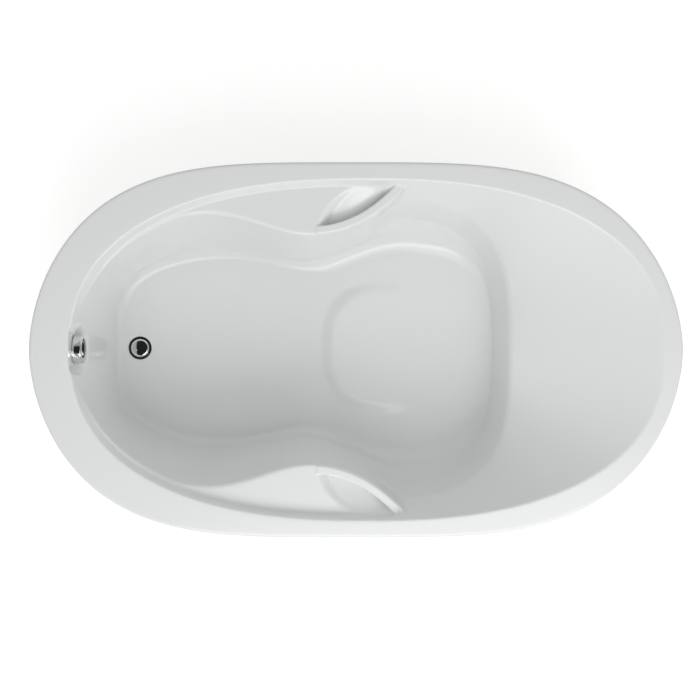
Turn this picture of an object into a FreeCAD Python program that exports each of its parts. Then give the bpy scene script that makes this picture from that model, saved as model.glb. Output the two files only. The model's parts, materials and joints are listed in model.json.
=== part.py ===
import FreeCAD, Part

import math
import os

from FreeCAD import Vector

# Oval drop-in bath with moulded grips, a knob-driven pop-up waste and levelling legs.
# Millimetres. +Z is up, +X runs from the foot end (drain, overflow) to the head end (backrest).
# The origin is on the floor, under the middle of the rim.

# Rim
RIM_LENGTH = 1829.0
RIM_WIDTH = 1050.0
RIM_TOP = 560.0
RIM_SQUARENESS = 2.65
LIP_DEPTH = 38.0
SHELL_WALL = 8.0

# Basin mouth: the inner edge of the rim, with a wide ledge for taps at the foot end
TAP_LEDGE = 117.0
SIDE_LEDGE = 50.0
HEAD_LEDGE = 53.0
MOUTH_SQUARENESS = 2.4

# Armrest shelves, sunk below the rim, with a grip bar and a finger scoop moulded in each
SHELF_DROP = 34.0
STEP_RUN = 18.0
SHELF_WIDTH = 124.0
SHELF_LEAD = 37.0
SHELF_TAPER = 238.0
GRIP_RUN = 258.0
GRIP_SWEEP = 2.1
GRIP_BAR = 24.0
GRIP_RISE = 4.0
GRIP_EDGE = 2.0
BAR_END_GAP = 24.0
GRIP_BACK = 14.0
GRIP_DEPTH = 44.0
GRIP_SKEW = 100.0
GRIP_END_GAP = 42.0
GRIP_MARGIN = 10.0
GRIP_ROUNDNESS = 0.6
GRIP_SECTIONS = (0.04, 0.25, 0.5, 0.75, 0.96)

# Backrest: it ends below in a knee, with a steep riser under it that fades out along the sides
KNEE_RUN = 401.5
KNEE_WIDTH = 862.0
KNEE_SQUARENESS = 3.2
KNEE_DROP = 250.0
KNEE_SIDE_DROP = 120.0
RISER_RUN = 34.0
RISER_DROP = 403.0
RISER_SIDE_DROP = 290.0

# Floor: an hourglass, wider under the seat than at the feet
BASIN_DEPTH = 445.0
FOOT_WALL_RUN = 51.5
BACK_RUN = 438.5
FLOOR_SHIFT = 80.0
FOOT_WIDTH = 578.0
SEAT_WIDTH = 680.0
FOOT_SQUARENESS = 4.8
SEAT_SQUARENESS = 3.3
WAIST_SETBACK = 270.0
WAIST_PINCH = 34.0
WAIST_SPREAD = 110.0
FLARE_LENGTH = 270.0
FLOOR_FILLET = 50.0
FOOT_FILLET = 28.0
FLOOR_FALL = 0.01

# Raised seat pad
SEAT_RISE = 28.0
PAD_SETBACK = 303.0
PAD_FRONT = 185.0
PAD_BACK = 150.0
PAD_WIDTH = 340.0
PAD_SQUARENESS = 2.8
PAD_RISER = 0.25
RAMP_LEAD = 220.0
RAMP_RUN = 300.0

# Boards under the floor
BOARD_THICK = 15.0
BOARD_FOOT_GAP = 146.0
BOARD_HEAD_GAP = 93.0
BOARD_WIDTH = 400.0
BOARD_CORNER = 40.0
PACKER_GAP = 40.0
PACKER_WIDTH = 240.0
DECK_BOARD_THICK = 15.0
DECK_BOARD_LENGTH = 400.0
DECK_BOARD_MARGIN = 18.0

# Cross rails and levelling legs
FRONT_RAIL_INSET = 150.0
REAR_RAIL_INSET = 70.0
RAIL_WIDTH = 40.0
RAIL_HEIGHT = 26.0
RAIL_GAUGE = 2.5
RAIL_OVERHANG = 30.0
LEG_SPREAD = 490.0
STUD_RADIUS = 6.0
STUD_TOP_GAP = 9.0
STUD_CLEARANCE = 0.1
NUT_FLATS = 19.0
NUT_HEIGHT = 6.0
PAD_RADIUS = 28.0
PAD_HEIGHT = 16.0
PAD_SOCKET = 10.0
PAD_NECK_WALL = 5.0
PAD_BEVEL = 2.0
PAD_RIM_HEIGHT = 5.0
PAD_COLLAR = 3.0
SCREW_RADIUS = 2.2
SCREW_HEAD = 4.5
SCREW_HEAD_HEIGHT = 2.5
SCREW_CROWN = 2.7
SCREW_BITE = 12.0
SCREW_END_GAP = 1.0
SCREW_CLEARANCE = 0.05
RAIL_SCREWS_AT = (-150.0, -60.0, 60.0, 150.0)

# Drain in the foot-well floor
DRAIN_SETBACK = 70.0
DRAIN_RECESS = 2.0
RECESS_RADIUS = 41.0
BOSS_RADIUS = 52.0
BOSS_DEPTH = 3.0
HOLE_RADIUS = 26.0
DRAIN_FLANGE_RADIUS = 37.0
DRAIN_FLANGE_THICK = 3.0
FLANGE_EDGE = 2.0
FLANGE_BEVEL = 1.0
DRAIN_TUBE_RADIUS = 23.9
DRAIN_BORE = 21.5
DRAIN_TUBE_LENGTH = 33.0
SPIDER_HEIGHT = 8.0
SPIDER_ARM = 4.0
HUB_RADIUS = 6.5
GASKET_THICK = 3.0
GASKET_MARGIN = 1.0
SHOE_FLANGE = 48.0
SHOE_FLANGE_THICK = 4.0
SHOE_RADIUS = 29.0
SHOE_DEPTH = 55.0
SHOE_BOTTOM = 4.0
THREAD_CLEARANCE = 0.1

# Stopper, its stem and the rocker that lifts it
STOPPER_RADIUS = 28.0
STOPPER_HEIGHT = 6.0
STOPPER_EDGE = 2.0
STOPPER_CROWN = 4.0
STOPPER_BULGE = 0.8
STOPPER_GAP = 0.3
SEAL_HEIGHT = 4.0
STEM_RADIUS = 3.0
STEM_CLEARANCE = 0.08
ROCKER_ARM = 19.0
ROCKER_DROP = 35.0
ROCKER_THICK = 4.0
ROCKER_WIDTH = 5.0
ROCKER_HUB = 4.3
ROCKER_TAIL = 11.0
ROCKER_TIP = 2.0
PIN_RADIUS = 2.0
PIN_CLEARANCE = 0.05
PIN_END_GAP = 1.0

# Waste pipes: sockets, slip nuts and washers of one size
PIPE_RADIUS = 19.05
PIPE_WALL = 2.0
SOCKET_CLEARANCE = 0.1
SOCKET_RADIUS = 23.0
SOCKET_DEPTH = 28.0
WATERWAY = 17.0
PIPE_DROP = 33.0
SHOE_REACH = 80.0
TEE_REACH = 48.0
TEE_UP = 48.0
TEE_DOWN = 46.0
TEE_BARREL = 25.0
SIDE_WATERWAY = 16.0
NUT_SKIRT = 12.0
NUT_CAP = 8.0
NUT_RADIUS = 29.0
NUT_BEVEL = 2.0
NUT_RIBS = 8
RIB_RADIUS = 3.0
RIB_SINK = 1.0
WASHER_THICK = 3.0

# Overflow through the foot wall, in a flat niche
OVERFLOW_DROP = 75.0
NICHE_WIDTH = 118.0
NICHE_DEPTH = 5.0
PLATE_RADIUS = 34.0
PLATE_THICK = 5.0
PLATE_HOLE = 6.5
PLATE_HOLES_AT = 18.0
ELBOW_FLANGE = 40.0
ELBOW_FLANGE_THICK = 5.0
ELBOW_RADIUS = 31.0
ELBOW_WALL = 4.0
ELBOW_AXIS = 34.5
ELBOW_DOWN = 66.0
LUG_RADIUS = 5.0
LUG_LENGTH = 30.0
LUGS_AT = 23.5
LUG_SCREW = 2.0
LUG_SCREW_HEAD = 4.0
LUG_SCREW_HEAD_HEIGHT = 2.0
LUG_SCREW_END_GAP = 2.0
KNOB_RADIUS = 41.0
KNOB_TAPER = 1.0
KNOB_LENGTH = 26.0
KNOB_GAP = 3.0
KNOB_WALL = 3.0
KNOB_FACE = 4.0
KNOB_CHAMFER = 4.0
KNOB_HUB = 9.0
KNOB_HUB_INSET = 4.5
SPINDLE_RADIUS = 5.0
SPINDLE_CLEARANCE = 0.08
SPINDLE_END_GAP = 1.0
SPINDLE_BEARING = 10.0
BEARING_WALL = 4.0
DRUM_RADIUS = 14.0
DRUM_GROOVE = 11.0
DRUM_WIDTH = 10.0
DRUM_FLANGE = 2.0
HUB_CLEARANCE = 0.02

# Lift cable from the overflow elbow to the drain shoe
CABLE_RADIUS = 3.5
CABLE_PORT = 7.0
CABLE_CLEARANCE = 0.2
PORT_REACH = 20.0
PORT_GRIP = 14.0
CABLE_SIDE = 120.0
CABLE_BENDS = (60.0, 80.0, 60.0)

# Ribs of the shell's surface: one fan at each end and parallel ribs between them
FAN_FOOT_GAP = 326.0
FAN_HEAD_LEAD = 30.0
FAN_RIBS = 12
SIDE_RIBS = 14

# Where features fade out along the ribs: first station and run (0 head end, 90 to 180 sides, 270 foot end)
HEAD_FADE = (62.0, 26.0)
KNEE_FADE = (86.0, 24.0)
KNEE_CLIMB = (20.0, 80.0)
FOOT_FADE = (200.0, 60.0)
SHELF_FALL = 1.5
PLAIN_EDGE = 14.0
FULL_SHELF = 20.0
BACK_EDGES = (0.10, 0.22)

# Rounding of the section's corners: rim, mouth, shelf foot, shelf edge, knee, foot of the riser
CORNER_SIZES = (12.0, 10.0, 8.0, 9.0, 18.0, 12.0)

# Places worked out from the sizes above
FLOOR_TOP = RIM_TOP - BASIN_DEPTH
FLOOR_UNDER = FLOOR_TOP - SHELL_WALL
SEAT_UNDER = FLOOR_UNDER + SEAT_RISE
LIP_FOOT = RIM_TOP - LIP_DEPTH
SHELF_Z = RIM_TOP - SHELF_DROP
PAD_LOOPS = (1.1 + PAD_RISER, 1.0 + PAD_RISER, 1.0 + PAD_RISER / 2, 1.0, 0.85)
UNDER_LOOPS = (1.0 + PAD_RISER, 1.0 + PAD_RISER / 2, 1.0, 0.9)
BOARD_UNDER = FLOOR_UNDER - BOARD_THICK
RAIL_WEB_UNDER = BOARD_UNDER - RAIL_GAUGE
MOUTH_FOOT = -RIM_LENGTH / 2 + TAP_LEDGE
MOUTH_HEAD = RIM_LENGTH / 2 - HEAD_LEDGE
MOUTH_HALF = RIM_WIDTH / 2 - SIDE_LEDGE
MOUTH_MIDDLE = (MOUTH_FOOT + MOUTH_HEAD) / 2
FLOOR_FOOT = MOUTH_FOOT + FOOT_WALL_RUN
FLOOR_HEAD = MOUTH_HEAD - BACK_RUN
KNEE_REACH = MOUTH_HEAD - KNEE_RUN
PAD_MIDDLE = FLOOR_HEAD - PAD_SETBACK
FLOOR_MIDDLE = PAD_MIDDLE - FLOOR_SHIFT
RAMP_START = PAD_MIDDLE - RAMP_LEAD
WAIST = PAD_MIDDLE - WAIST_SETBACK
SHELF_WAIST = WAIST + SHELF_LEAD
FAN_FOOT = FLOOR_FOOT + FAN_FOOT_GAP
FAN_HEAD = PAD_MIDDLE + FAN_HEAD_LEAD
DRAIN_X = FLOOR_FOOT + DRAIN_SETBACK
BOARD_FOOT = FLOOR_FOOT + BOARD_FOOT_GAP
BOARD_HEAD = FLOOR_HEAD - BOARD_HEAD_GAP
PACKER_FRONT = PAD_MIDDLE - PAD_FRONT + PACKER_GAP
RAIL_FRONT = BOARD_FOOT + FRONT_RAIL_INSET
RAIL_REAR = BOARD_HEAD - REAR_RAIL_INSET
FLANGE_SEAT = FLOOR_TOP - DRAIN_RECESS
FLANGE_TOP = FLANGE_SEAT + DRAIN_FLANGE_THICK
SHOE_TOP = FLOOR_UNDER - BOSS_DEPTH - GASKET_THICK
PIPE_Z = SHOE_TOP - PIPE_DROP
ROCKER_Z = SHOE_TOP - ROCKER_DROP
CABLE_Z = ROCKER_Z - ROCKER_TAIL
OVERFLOW_Z = RIM_TOP - OVERFLOW_DROP
NICHE_X = MOUTH_FOOT - NICHE_DEPTH
NICHE_BACK = NICHE_X - SHELL_WALL
ELBOW_FACE = NICHE_BACK - GASKET_THICK
PIPE_X = ELBOW_FACE - ELBOW_AXIS
ELBOW_END = PIPE_X - ELBOW_RADIUS
SOCKET_BORE = PIPE_RADIUS + SOCKET_CLEARANCE

X_AXIS = Vector(1, 0, 0)
Y_AXIS = Vector(0, 1, 0)
Z_AXIS = Vector(0, 0, 1)


# Small helpers

def smooth(share):
    share = min(max(share, 0.0), 1.0)
    return share * share * (3.0 - 2.0 * share)


def mix(a, b, share):
    return tuple(p + (q - p) * share for p, q in zip(a, b))


def toward(a, b, distance, most=0.45):
    """The point that lies a distance from a towards b, at most a set share of the way."""
    length = math.dist(a, b)
    return mix(a, b, min(distance / length, most))


def cylinder(radius, length, base, axis=Z_AXIS):
    return Part.makeCylinder(radius, length, base, axis)


def ring(outer, inner, length, base, axis=Z_AXIS):
    return cylinder(outer, length, base, axis).cut(cylinder(inner, length, base, axis))


def box(low, high):
    size = high - low
    return Part.makeBox(size.x, size.y, size.z, low)


def turned(profile, base, axis=Z_AXIS):
    """A solid of revolution: profile points are (radius, distance along the axis from base)."""
    side = X_AXIS if axis.cross(X_AXIS).Length > 0.5 else Z_AXIS
    points = [base + side * radius + axis * along for radius, along in profile]
    face = Part.Face(Part.makePolygon(points + points[:1]))
    return face.revolve(base, axis, 360)


def prism(points, direction):
    return Part.Face(Part.makePolygon(points + points[:1])).extrude(direction)


def hexagon(flats, height, base):
    radius = flats / math.sqrt(3.0)
    corners = [math.radians(60 * i) for i in range(6)]
    points = [base + Vector(math.cos(a), math.sin(a), 0) * radius for a in corners]
    return prism(points, Z_AXIS * height)


def fused(first, *others):
    return first.fuse(list(others)).removeSplitter()


# Plan curves of the shell: each gives the half-breadth at x

def oval(x, foot, head, middle, half, foot_squareness, head_squareness):
    reach, power = (head - middle, head_squareness) if x > middle else (middle - foot, foot_squareness)
    share = abs(x - middle) / reach
    return half * (1.0 - share ** power) ** (1.0 / power) if share < 1.0 else 0.0


def rim_edge(x, inset=0.0):
    half = RIM_LENGTH / 2 - inset
    return oval(x, -half, half, 0.0, RIM_WIDTH / 2 - inset, RIM_SQUARENESS, RIM_SQUARENESS)


def mouth_edge(x, inset=0.0):
    return oval(x, MOUTH_FOOT + inset, MOUTH_HEAD - inset, MOUTH_MIDDLE, MOUTH_HALF - inset,
                MOUTH_SQUARENESS, MOUTH_SQUARENESS)


def step_edge(x):
    return mouth_edge(x, STEP_RUN)


def shelf_width(x):
    """Widest at the waist: a long bell towards the feet, the curve of the grip bar towards the head."""
    if x < SHELF_WAIST:
        return SHELF_WIDTH * math.exp(-((x - SHELF_WAIST) / SHELF_TAPER) ** 2)
    share = min((x - SHELF_WAIST) / GRIP_RUN, 1.0)
    return SHELF_WIDTH * (1.0 - share ** GRIP_SWEEP)


def shelf_edge(x):
    return max(step_edge(x) - shelf_width(x), 0.0)


def knee_edge(x, inset=0.0):
    return oval(x, MOUTH_FOOT + inset, KNEE_REACH - inset, FLOOR_MIDDLE, KNEE_WIDTH / 2 - inset,
                KNEE_SQUARENESS, KNEE_SQUARENESS)


def riser_edge(x):
    return knee_edge(x, RISER_RUN)


def floor_edge(x):
    flare = smooth((x - WAIST) / FLARE_LENGTH)
    pinch = WAIST_PINCH * math.exp(-((x - WAIST) / WAIST_SPREAD) ** 2)
    half = FOOT_WIDTH / 2 + (SEAT_WIDTH - FOOT_WIDTH) / 2 * flare - pinch
    return oval(x, FLOOR_FOOT, FLOOR_HEAD, FLOOR_MIDDLE, half, FOOT_SQUARENESS, SEAT_SQUARENESS)


# Floor heights

def pad_radius(turn, share):
    """Distance from the pad's middle to its outline, scaled by share, in the direction of turn."""
    reach = PAD_BACK if math.cos(turn) > 0 else PAD_FRONT
    across = abs(math.cos(turn)) / reach
    along = abs(math.sin(turn)) / (PAD_WIDTH / 2)
    return share / (across ** PAD_SQUARENESS + along ** PAD_SQUARENESS) ** (1.0 / PAD_SQUARENESS)


def seat_share(x, y, inset=0.0):
    """0 on the foot-well floor, 1 on the seat: a pad with a steep riser, and a ramp beside it."""
    turn = math.atan2(y, x - PAD_MIDDLE)
    share = (math.hypot(x - PAD_MIDDLE, y) + inset) / pad_radius(turn, 1.0)
    pad = 1.0 - smooth((share - 1.0) / PAD_RISER)
    ramp = smooth((x - RAMP_START) / RAMP_RUN)
    return ramp + (1.0 - ramp) * pad


def floor_height(x, y):
    seat = seat_share(x, y)
    fall = FLOOR_FALL * max(min(x, RAMP_START) - DRAIN_X, 0.0)
    return FLOOR_TOP + fall * (1.0 - seat) + SEAT_RISE * seat


def under_height(x, y):
    return FLOOR_UNDER + SEAT_RISE * seat_share(x, y, SHELL_WALL)


# Ribs: vertical planes that the shell's section is drawn in, from the head end round to the foot end

class Rib:
    def __init__(self, start, turn, station):
        self.start = start
        self.along = (math.cos(turn), math.sin(turn))
        self.station = station

    def point(self, radius, z):
        return (self.start + radius * self.along[0], radius * self.along[1], z)

    def reach(self, edge):
        """How far the rib goes to meet a plan curve, by halving."""
        low, high = 0.0, RIM_LENGTH
        for _ in range(50):
            radius = (low + high) / 2
            x, y, _z = self.point(radius, 0.0)
            if y < edge(x):
                low = radius
            else:
                high = radius
        return (low + high) / 2


def half_ribs():
    head = [Rib(FAN_HEAD, math.pi / 2 * i / FAN_RIBS, 90.0 * i / FAN_RIBS) for i in range(FAN_RIBS)]
    span = FAN_FOOT - FAN_HEAD
    side = [Rib(FAN_HEAD + span * i / SIDE_RIBS, math.pi / 2, 90.0 + 90.0 * i / SIDE_RIBS)
            for i in range(SIDE_RIBS)]
    foot = [Rib(FAN_FOOT, math.pi / 2 * (1 + i / FAN_RIBS), 180.0 + 90.0 * i / FAN_RIBS)
            for i in range(FAN_RIBS + 1)]
    return head + side + foot


# Section of the shell on one rib: corner points as (radius, z), from the lip inwards and down

def fade(station, span):
    return smooth((station - span[0]) / span[1])


def section(rib):
    rim = rib.reach(rim_edge)
    mouth = (rib.reach(mouth_edge), RIM_TOP)
    floor_radius = rib.reach(floor_edge)
    floor_x, floor_y, _ = rib.point(floor_radius, 0.0)
    floor = (floor_radius, floor_height(floor_x, floor_y))
    climb = fade(rib.station, KNEE_CLIMB)
    back_knee = (rib.reach(knee_edge), RIM_TOP - KNEE_DROP + (KNEE_DROP - KNEE_SIDE_DROP) * climb)
    riser_z = RIM_TOP - RISER_DROP + (RISER_DROP - RISER_SIDE_DROP) * climb
    back_riser = (rib.reach(riser_edge), riser_z)
    backrest = 1.0 - fade(rib.station, HEAD_FADE)

    step = (rib.reach(step_edge), SHELF_Z)
    wall_share = SHELF_DROP / (RIM_TOP - floor[1])
    outer = mix(step, mix(mouth, floor, wall_share), fade(rib.station, FOOT_FADE))
    inner_flat = (rib.reach(shelf_edge), SHELF_Z - SHELF_FALL)
    inner_plain = toward(outer, floor, PLAIN_EDGE)
    width = step[0] - inner_flat[0]
    inner = mix(inner_plain, inner_flat, smooth(width / FULL_SHELF))
    outer = mix(outer, mix(mouth, back_knee, BACK_EDGES[0]), backrest)
    inner = mix(inner, mix(mouth, back_knee, BACK_EDGES[1]), backrest)
    plain_wall = fade(rib.station, KNEE_FADE)
    knee = mix(back_knee, mix(inner, floor, 1 / 3), plain_wall)
    riser_foot = mix(back_riser, mix(inner, floor, 2 / 3), plain_wall)
    return [(rim, LIP_FOOT), (rim, RIM_TOP), mouth, outer, inner, knee, riser_foot, floor]


def offset(points, distance):
    """The same section moved below and outside by the wall, with mitred corners."""
    normals = []
    for a, b in zip(points, points[1:]):
        length = math.dist(a, b)
        normals.append(((a[1] - b[1]) / length, (b[0] - a[0]) / length))
    normals.append((0.0, -1.0))
    moved = [(points[0][0] + normals[0][0] * distance, points[0][1])]
    for point, n, m in zip(points[1:], normals, normals[1:]):
        scale = distance / (1.0 + n[0] * m[0] + n[1] * m[1])
        moved.append((point[0] + (n[0] + m[0]) * scale, point[1] + (n[1] + m[1]) * scale))
    return moved


def corner(before, point, after, size):
    return [toward(point, before, size), point, toward(point, after, size)]


def pad_loop(wall_foot, share, height):
    """The point on a loop round the seat pad that faces this foot of the wall."""
    turn = math.atan2(wall_foot[1], wall_foot[0] - PAD_MIDDLE)
    radius = pad_radius(turn, share)
    x = PAD_MIDDLE + radius * math.cos(turn)
    y = radius * math.sin(turn)
    return (x, y, height(x, y))


def top_rows(rib):
    """Control points of the upper side: the lip's foot, three per rounded corner, then the pad's loops."""
    corners = section(rib)
    rows = [corners[0]]
    for before, point, after, size in zip(corners, corners[1:], corners[2:], CORNER_SIZES):
        rows += corner(before, point, after, size)
    points = [rib.point(*row) for row in rows]
    riser_foot = rib.point(*corners[-2])
    wall_foot = rib.point(*corners[-1])
    fillet = FLOOR_FILLET + (FOOT_FILLET - FLOOR_FILLET) * fade(rib.station, FOOT_FADE)
    x, y = toward(wall_foot[:2], (PAD_MIDDLE, 0.0), fillet)
    points += [toward(wall_foot, riser_foot, fillet), wall_foot, (x, y, floor_height(x, y))]
    loops = [pad_loop(wall_foot, share, floor_height) for share in PAD_LOOPS]
    return points + loops


def under_rows(rib):
    """Corner points of the under side, which has no rounded corners."""
    points = [rib.point(*row) for row in offset(section(rib), SHELL_WALL)]
    x, y, _ = points[-1]
    wall_foot = (x, y, under_height(x, y))
    return points[:-1] + [wall_foot] + [pad_loop(wall_foot, share, under_height) for share in UNDER_LOOPS]


def ring_parameters(rows):
    """Distances along the mouth of the basin, which every ring curve shares."""
    loop = [row[4] for row in rows] + [(x, -y, z) for x, y, z in (row[4] for row in rows[-2::-1])]
    distances = [0.0]
    for a, b in zip(loop, loop[1:]):
        distances.append(distances[-1] + math.dist(a, b))
    return distances


def ring_curve(points, parameters):
    """A smooth closed curve through one point per rib and their mirror images."""
    loop = points + [(x, -y, z) for x, y, z in points[-2:0:-1]]
    curve = Part.BSplineCurve()
    curve.interpolate(Points=[Vector(*point) for point in loop], PeriodicFlag=True, Parameters=parameters)
    return curve


def strip(curves):
    """A surface between ring curves: two give straight sections, three a rounded corner."""
    first = curves[0]
    degree = len(curves) - 1
    poles = [list(column) for column in zip(*[curve.getPoles() for curve in curves])]
    surface = Part.BSplineSurface()
    surface.buildFromPolesMultsKnots(poles, first.getMultiplicities(), [degree + 1, degree + 1],
                                     first.getKnots(), [0.0, 1.0], True, False, first.Degree, degree)
    return surface.toShape()


def flat_ring(outer, inner):
    return Part.makeFace([Part.Wire(outer.toShape()), Part.Wire(inner.toShape())], "Part::FaceMakerBullseye")


def moulding():
    """The shell before its holes: strips of both sides, closed along the foot of the lip."""
    ribs = half_ribs()
    upper = [top_rows(rib) for rib in ribs]
    lower = [under_rows(rib) for rib in ribs]
    parameters = ring_parameters(upper)
    top = [ring_curve(list(row), parameters) for row in zip(*upper)]
    under = [ring_curve(list(row), parameters) for row in zip(*lower)]
    pad_edge = len(top) - 3
    faces = [flat_ring(*rings) for rings in ((top[0], under[0]), (top[3], top[4]), (under[1], under[2]))]
    faces += [strip(top[i:i + 2]) for i in range(0, pad_edge, 3) if i != 3]
    faces += [strip(top[i:i + 3]) for i in (*range(1, pad_edge, 3), pad_edge)]
    faces += [strip(under[i:i + 2]) for i in range(len(under) - 1) if i != 1]
    faces += [Part.Face(Part.Wire(rings[-1].toShape())) for rings in (top, under)]
    shell = Part.Shell(faces)
    shell.sewShape()
    solid = Part.Solid(shell)
    if solid.Volume < 0:
        solid.reverse()
    return solid


# Grip bars and finger scoops

def bar_back(x):
    """The back edge of the grip bar, which keeps its width where the bar turns outwards."""
    slope = (shelf_edge(x + 1.0) - shelf_edge(x - 1.0)) / 2.0
    return shelf_edge(x) + GRIP_BAR * math.hypot(1.0, slope)


def grip_bar(side):
    """A low rounded rib along the basin edge of the shelf."""
    wires = []
    for place in GRIP_SECTIONS:
        x = SHELF_WAIST + (GRIP_RUN - BAR_END_GAP) * place
        front = shelf_edge(x) + GRIP_EDGE
        back = bar_back(x)
        foot = SHELF_Z - SHELL_WALL / 2
        low = [Vector(x, side * y, foot) for y in (front, back)]
        high = [Vector(x, side * y, SHELF_Z - SHELF_FALL) for y in (front, back)]
        crown = Vector(x, side * (front + back) / 2, SHELF_Z + GRIP_RISE)
        edges = [Part.makeLine(low[0], high[0]), Part.Arc(high[0], crown, high[1]).toShape(),
                 Part.makeLine(high[1], low[1]), Part.makeLine(low[1], low[0])]
        wires.append(Part.Wire(edges))
    return Part.makeLoft(wires, True, False)


def grip_pocket(side, grow, low_top):
    """A scoop behind a grip bar: steep behind the bar, rising to the step, slanted at the foot end.

    With grow above zero it is the wall round the scoop; low_top is the height of its flat top."""
    wires = []
    for place in GRIP_SECTIONS:
        bar_x = SHELF_WAIST + (GRIP_RUN - GRIP_END_GAP) * place
        step_x = bar_x + GRIP_SKEW * (1.0 - place)
        bar = (bar_x, bar_back(bar_x))
        step = (step_x, step_edge(step_x))
        step = toward(step, bar, GRIP_MARGIN, 0.25)
        depth = GRIP_DEPTH * math.sin(math.pi * place) ** GRIP_ROUNDNESS
        deepest = toward(bar, step, GRIP_BACK)
        bar, step = toward(bar, step, -grow), toward(step, bar, -grow)
        heights = (low_top, SHELF_Z - depth - grow, SHELF_Z - SHELF_FALL - grow, low_top)
        points = [Vector(x, side * y, z) for (x, y), z in zip((bar, deepest, step, step), heights)]
        wires.append(Part.makePolygon(points + points[:1]))
    return Part.makeLoft(wires, True, False)


def grip_scoops():
    return [grip_pocket(side, 0.0, SHELF_Z + SHELL_WALL) for side in (-1, 1)]


def grip_bars():
    return [grip_bar(side) for side in (-1, 1)]


def grip_backings():
    return [grip_pocket(side, SHELL_WALL, SHELF_Z - SHELL_WALL / 2) for side in (-1, 1)]


def arch(width, x_from, x_to, top):
    """A flat niche shape along X: round below the overflow's middle, straight above it."""
    middle = Vector(x_from, 0, OVERFLOW_Z)
    length = x_to - x_from
    round_end = cylinder(width / 2, length, middle, X_AXIS)
    upright = box(Vector(x_from, -width / 2, OVERFLOW_Z), Vector(x_to, width / 2, top))
    return round_end.fuse(upright)


def niche_backing():
    """The wall behind the niche, with its front along the middle of the sloping foot wall."""
    slope = (FLOOR_FOOT - MOUTH_FOOT) / BASIN_DEPTH
    low = OVERFLOW_Z - NICHE_WIDTH / 2 - SHELL_WALL
    high = RIM_TOP - SHELL_WALL / 2
    front_low = MOUTH_FOOT + slope * (RIM_TOP - low) - SHELL_WALL / 2
    front_high = MOUTH_FOOT + slope * (RIM_TOP - high) - SHELL_WALL / 2
    half = NICHE_WIDTH / 2 + SHELL_WALL
    side = [Vector(NICHE_BACK, -half, low), Vector(NICHE_BACK, -half, high),
            Vector(front_high, -half, high), Vector(front_low, -half, low)]
    block = prism(side, Y_AXIS * (2 * half))
    return block.common(arch(2 * half, NICHE_BACK, front_low + SHELL_WALL, high))


def tub_shell():
    drain = Vector(DRAIN_X, 0, 0)
    boss_foot = FLOOR_UNDER - BOSS_DEPTH
    boss = cylinder(BOSS_RADIUS, SHELL_WALL, drain + Z_AXIS * boss_foot)
    recess = cylinder(RECESS_RADIUS, BASIN_DEPTH, drain + Z_AXIS * FLANGE_SEAT)
    drain_hole = cylinder(HOLE_RADIUS, BASIN_DEPTH, drain)
    niche = arch(NICHE_WIDTH, NICHE_X, NICHE_X + TAP_LEDGE / 2, RIM_TOP + LIP_DEPTH)
    overflow_hole = cylinder(HOLE_RADIUS, TAP_LEDGE, Vector(NICHE_BACK - SHELL_WALL, 0, OVERFLOW_Z), X_AXIS)
    shell = moulding().fuse([boss, niche_backing()] + grip_backings() + grip_bars())
    return shell.cut([recess, drain_hole, niche, overflow_hole] + grip_scoops())


# Boards, rails and legs

def tap_deck_board():
    """A crescent between the lip and the basin wall, flat against the underside of the wide ledge."""
    half = DECK_BOARD_LENGTH / 2
    margin = SHELL_WALL + DECK_BOARD_MARGIN
    top = RIM_TOP - SHELL_WALL

    def curve(foot, half_width, middle, power):
        points = []
        for y in [half * i / 4 for i in range(-4, 5)]:
            share = (1.0 - (abs(y) / half_width) ** power) ** (1.0 / power)
            points.append(Vector(middle + (foot - middle) * share, y, top))
        line = Part.BSplineCurve()
        line.interpolate(points)
        return line.toShape()

    outer = curve(-RIM_LENGTH / 2 + margin, RIM_WIDTH / 2 - margin, 0.0, RIM_SQUARENESS)
    inner = curve(MOUTH_FOOT - margin, MOUTH_HALF + margin, MOUTH_MIDDLE, MOUTH_SQUARENESS)
    ends = [Part.makeLine(outer.Vertexes[i].Point, inner.Vertexes[i].Point) for i in (0, 1)]
    outline = Part.Wire(Part.__sortEdges__([outer, inner] + ends))
    return Part.Face(outline).extrude(Z_AXIS * -DECK_BOARD_THICK)


def screw_places():
    return [Vector(x, y, 0) for x in (RAIL_FRONT, RAIL_REAR) for y in RAIL_SCREWS_AT]


def base_board():
    low = Vector(BOARD_FOOT, -BOARD_WIDTH / 2, BOARD_UNDER)
    high = Vector(BOARD_HEAD, BOARD_WIDTH / 2, FLOOR_UNDER)
    board = box(low, high)
    upright = [edge for edge in board.Edges if abs(edge.tangentAt(edge.FirstParameter).z) > 0.5]
    board = board.makeFillet(BOARD_CORNER, upright)
    pilot = SCREW_RADIUS + SCREW_CLEARANCE
    return board.cut([cylinder(pilot, SCREW_BITE, place + Z_AXIS * BOARD_UNDER) for place in screw_places()])


def seat_packer():
    low = Vector(PACKER_FRONT, -PACKER_WIDTH / 2, FLOOR_UNDER)
    high = Vector(BOARD_HEAD, PACKER_WIDTH / 2, SEAT_UNDER)
    packer = box(low, high)
    upright = [edge for edge in packer.Edges if abs(edge.tangentAt(edge.FirstParameter).z) > 0.5]
    return packer.makeFillet(BOARD_CORNER, upright)


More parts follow.
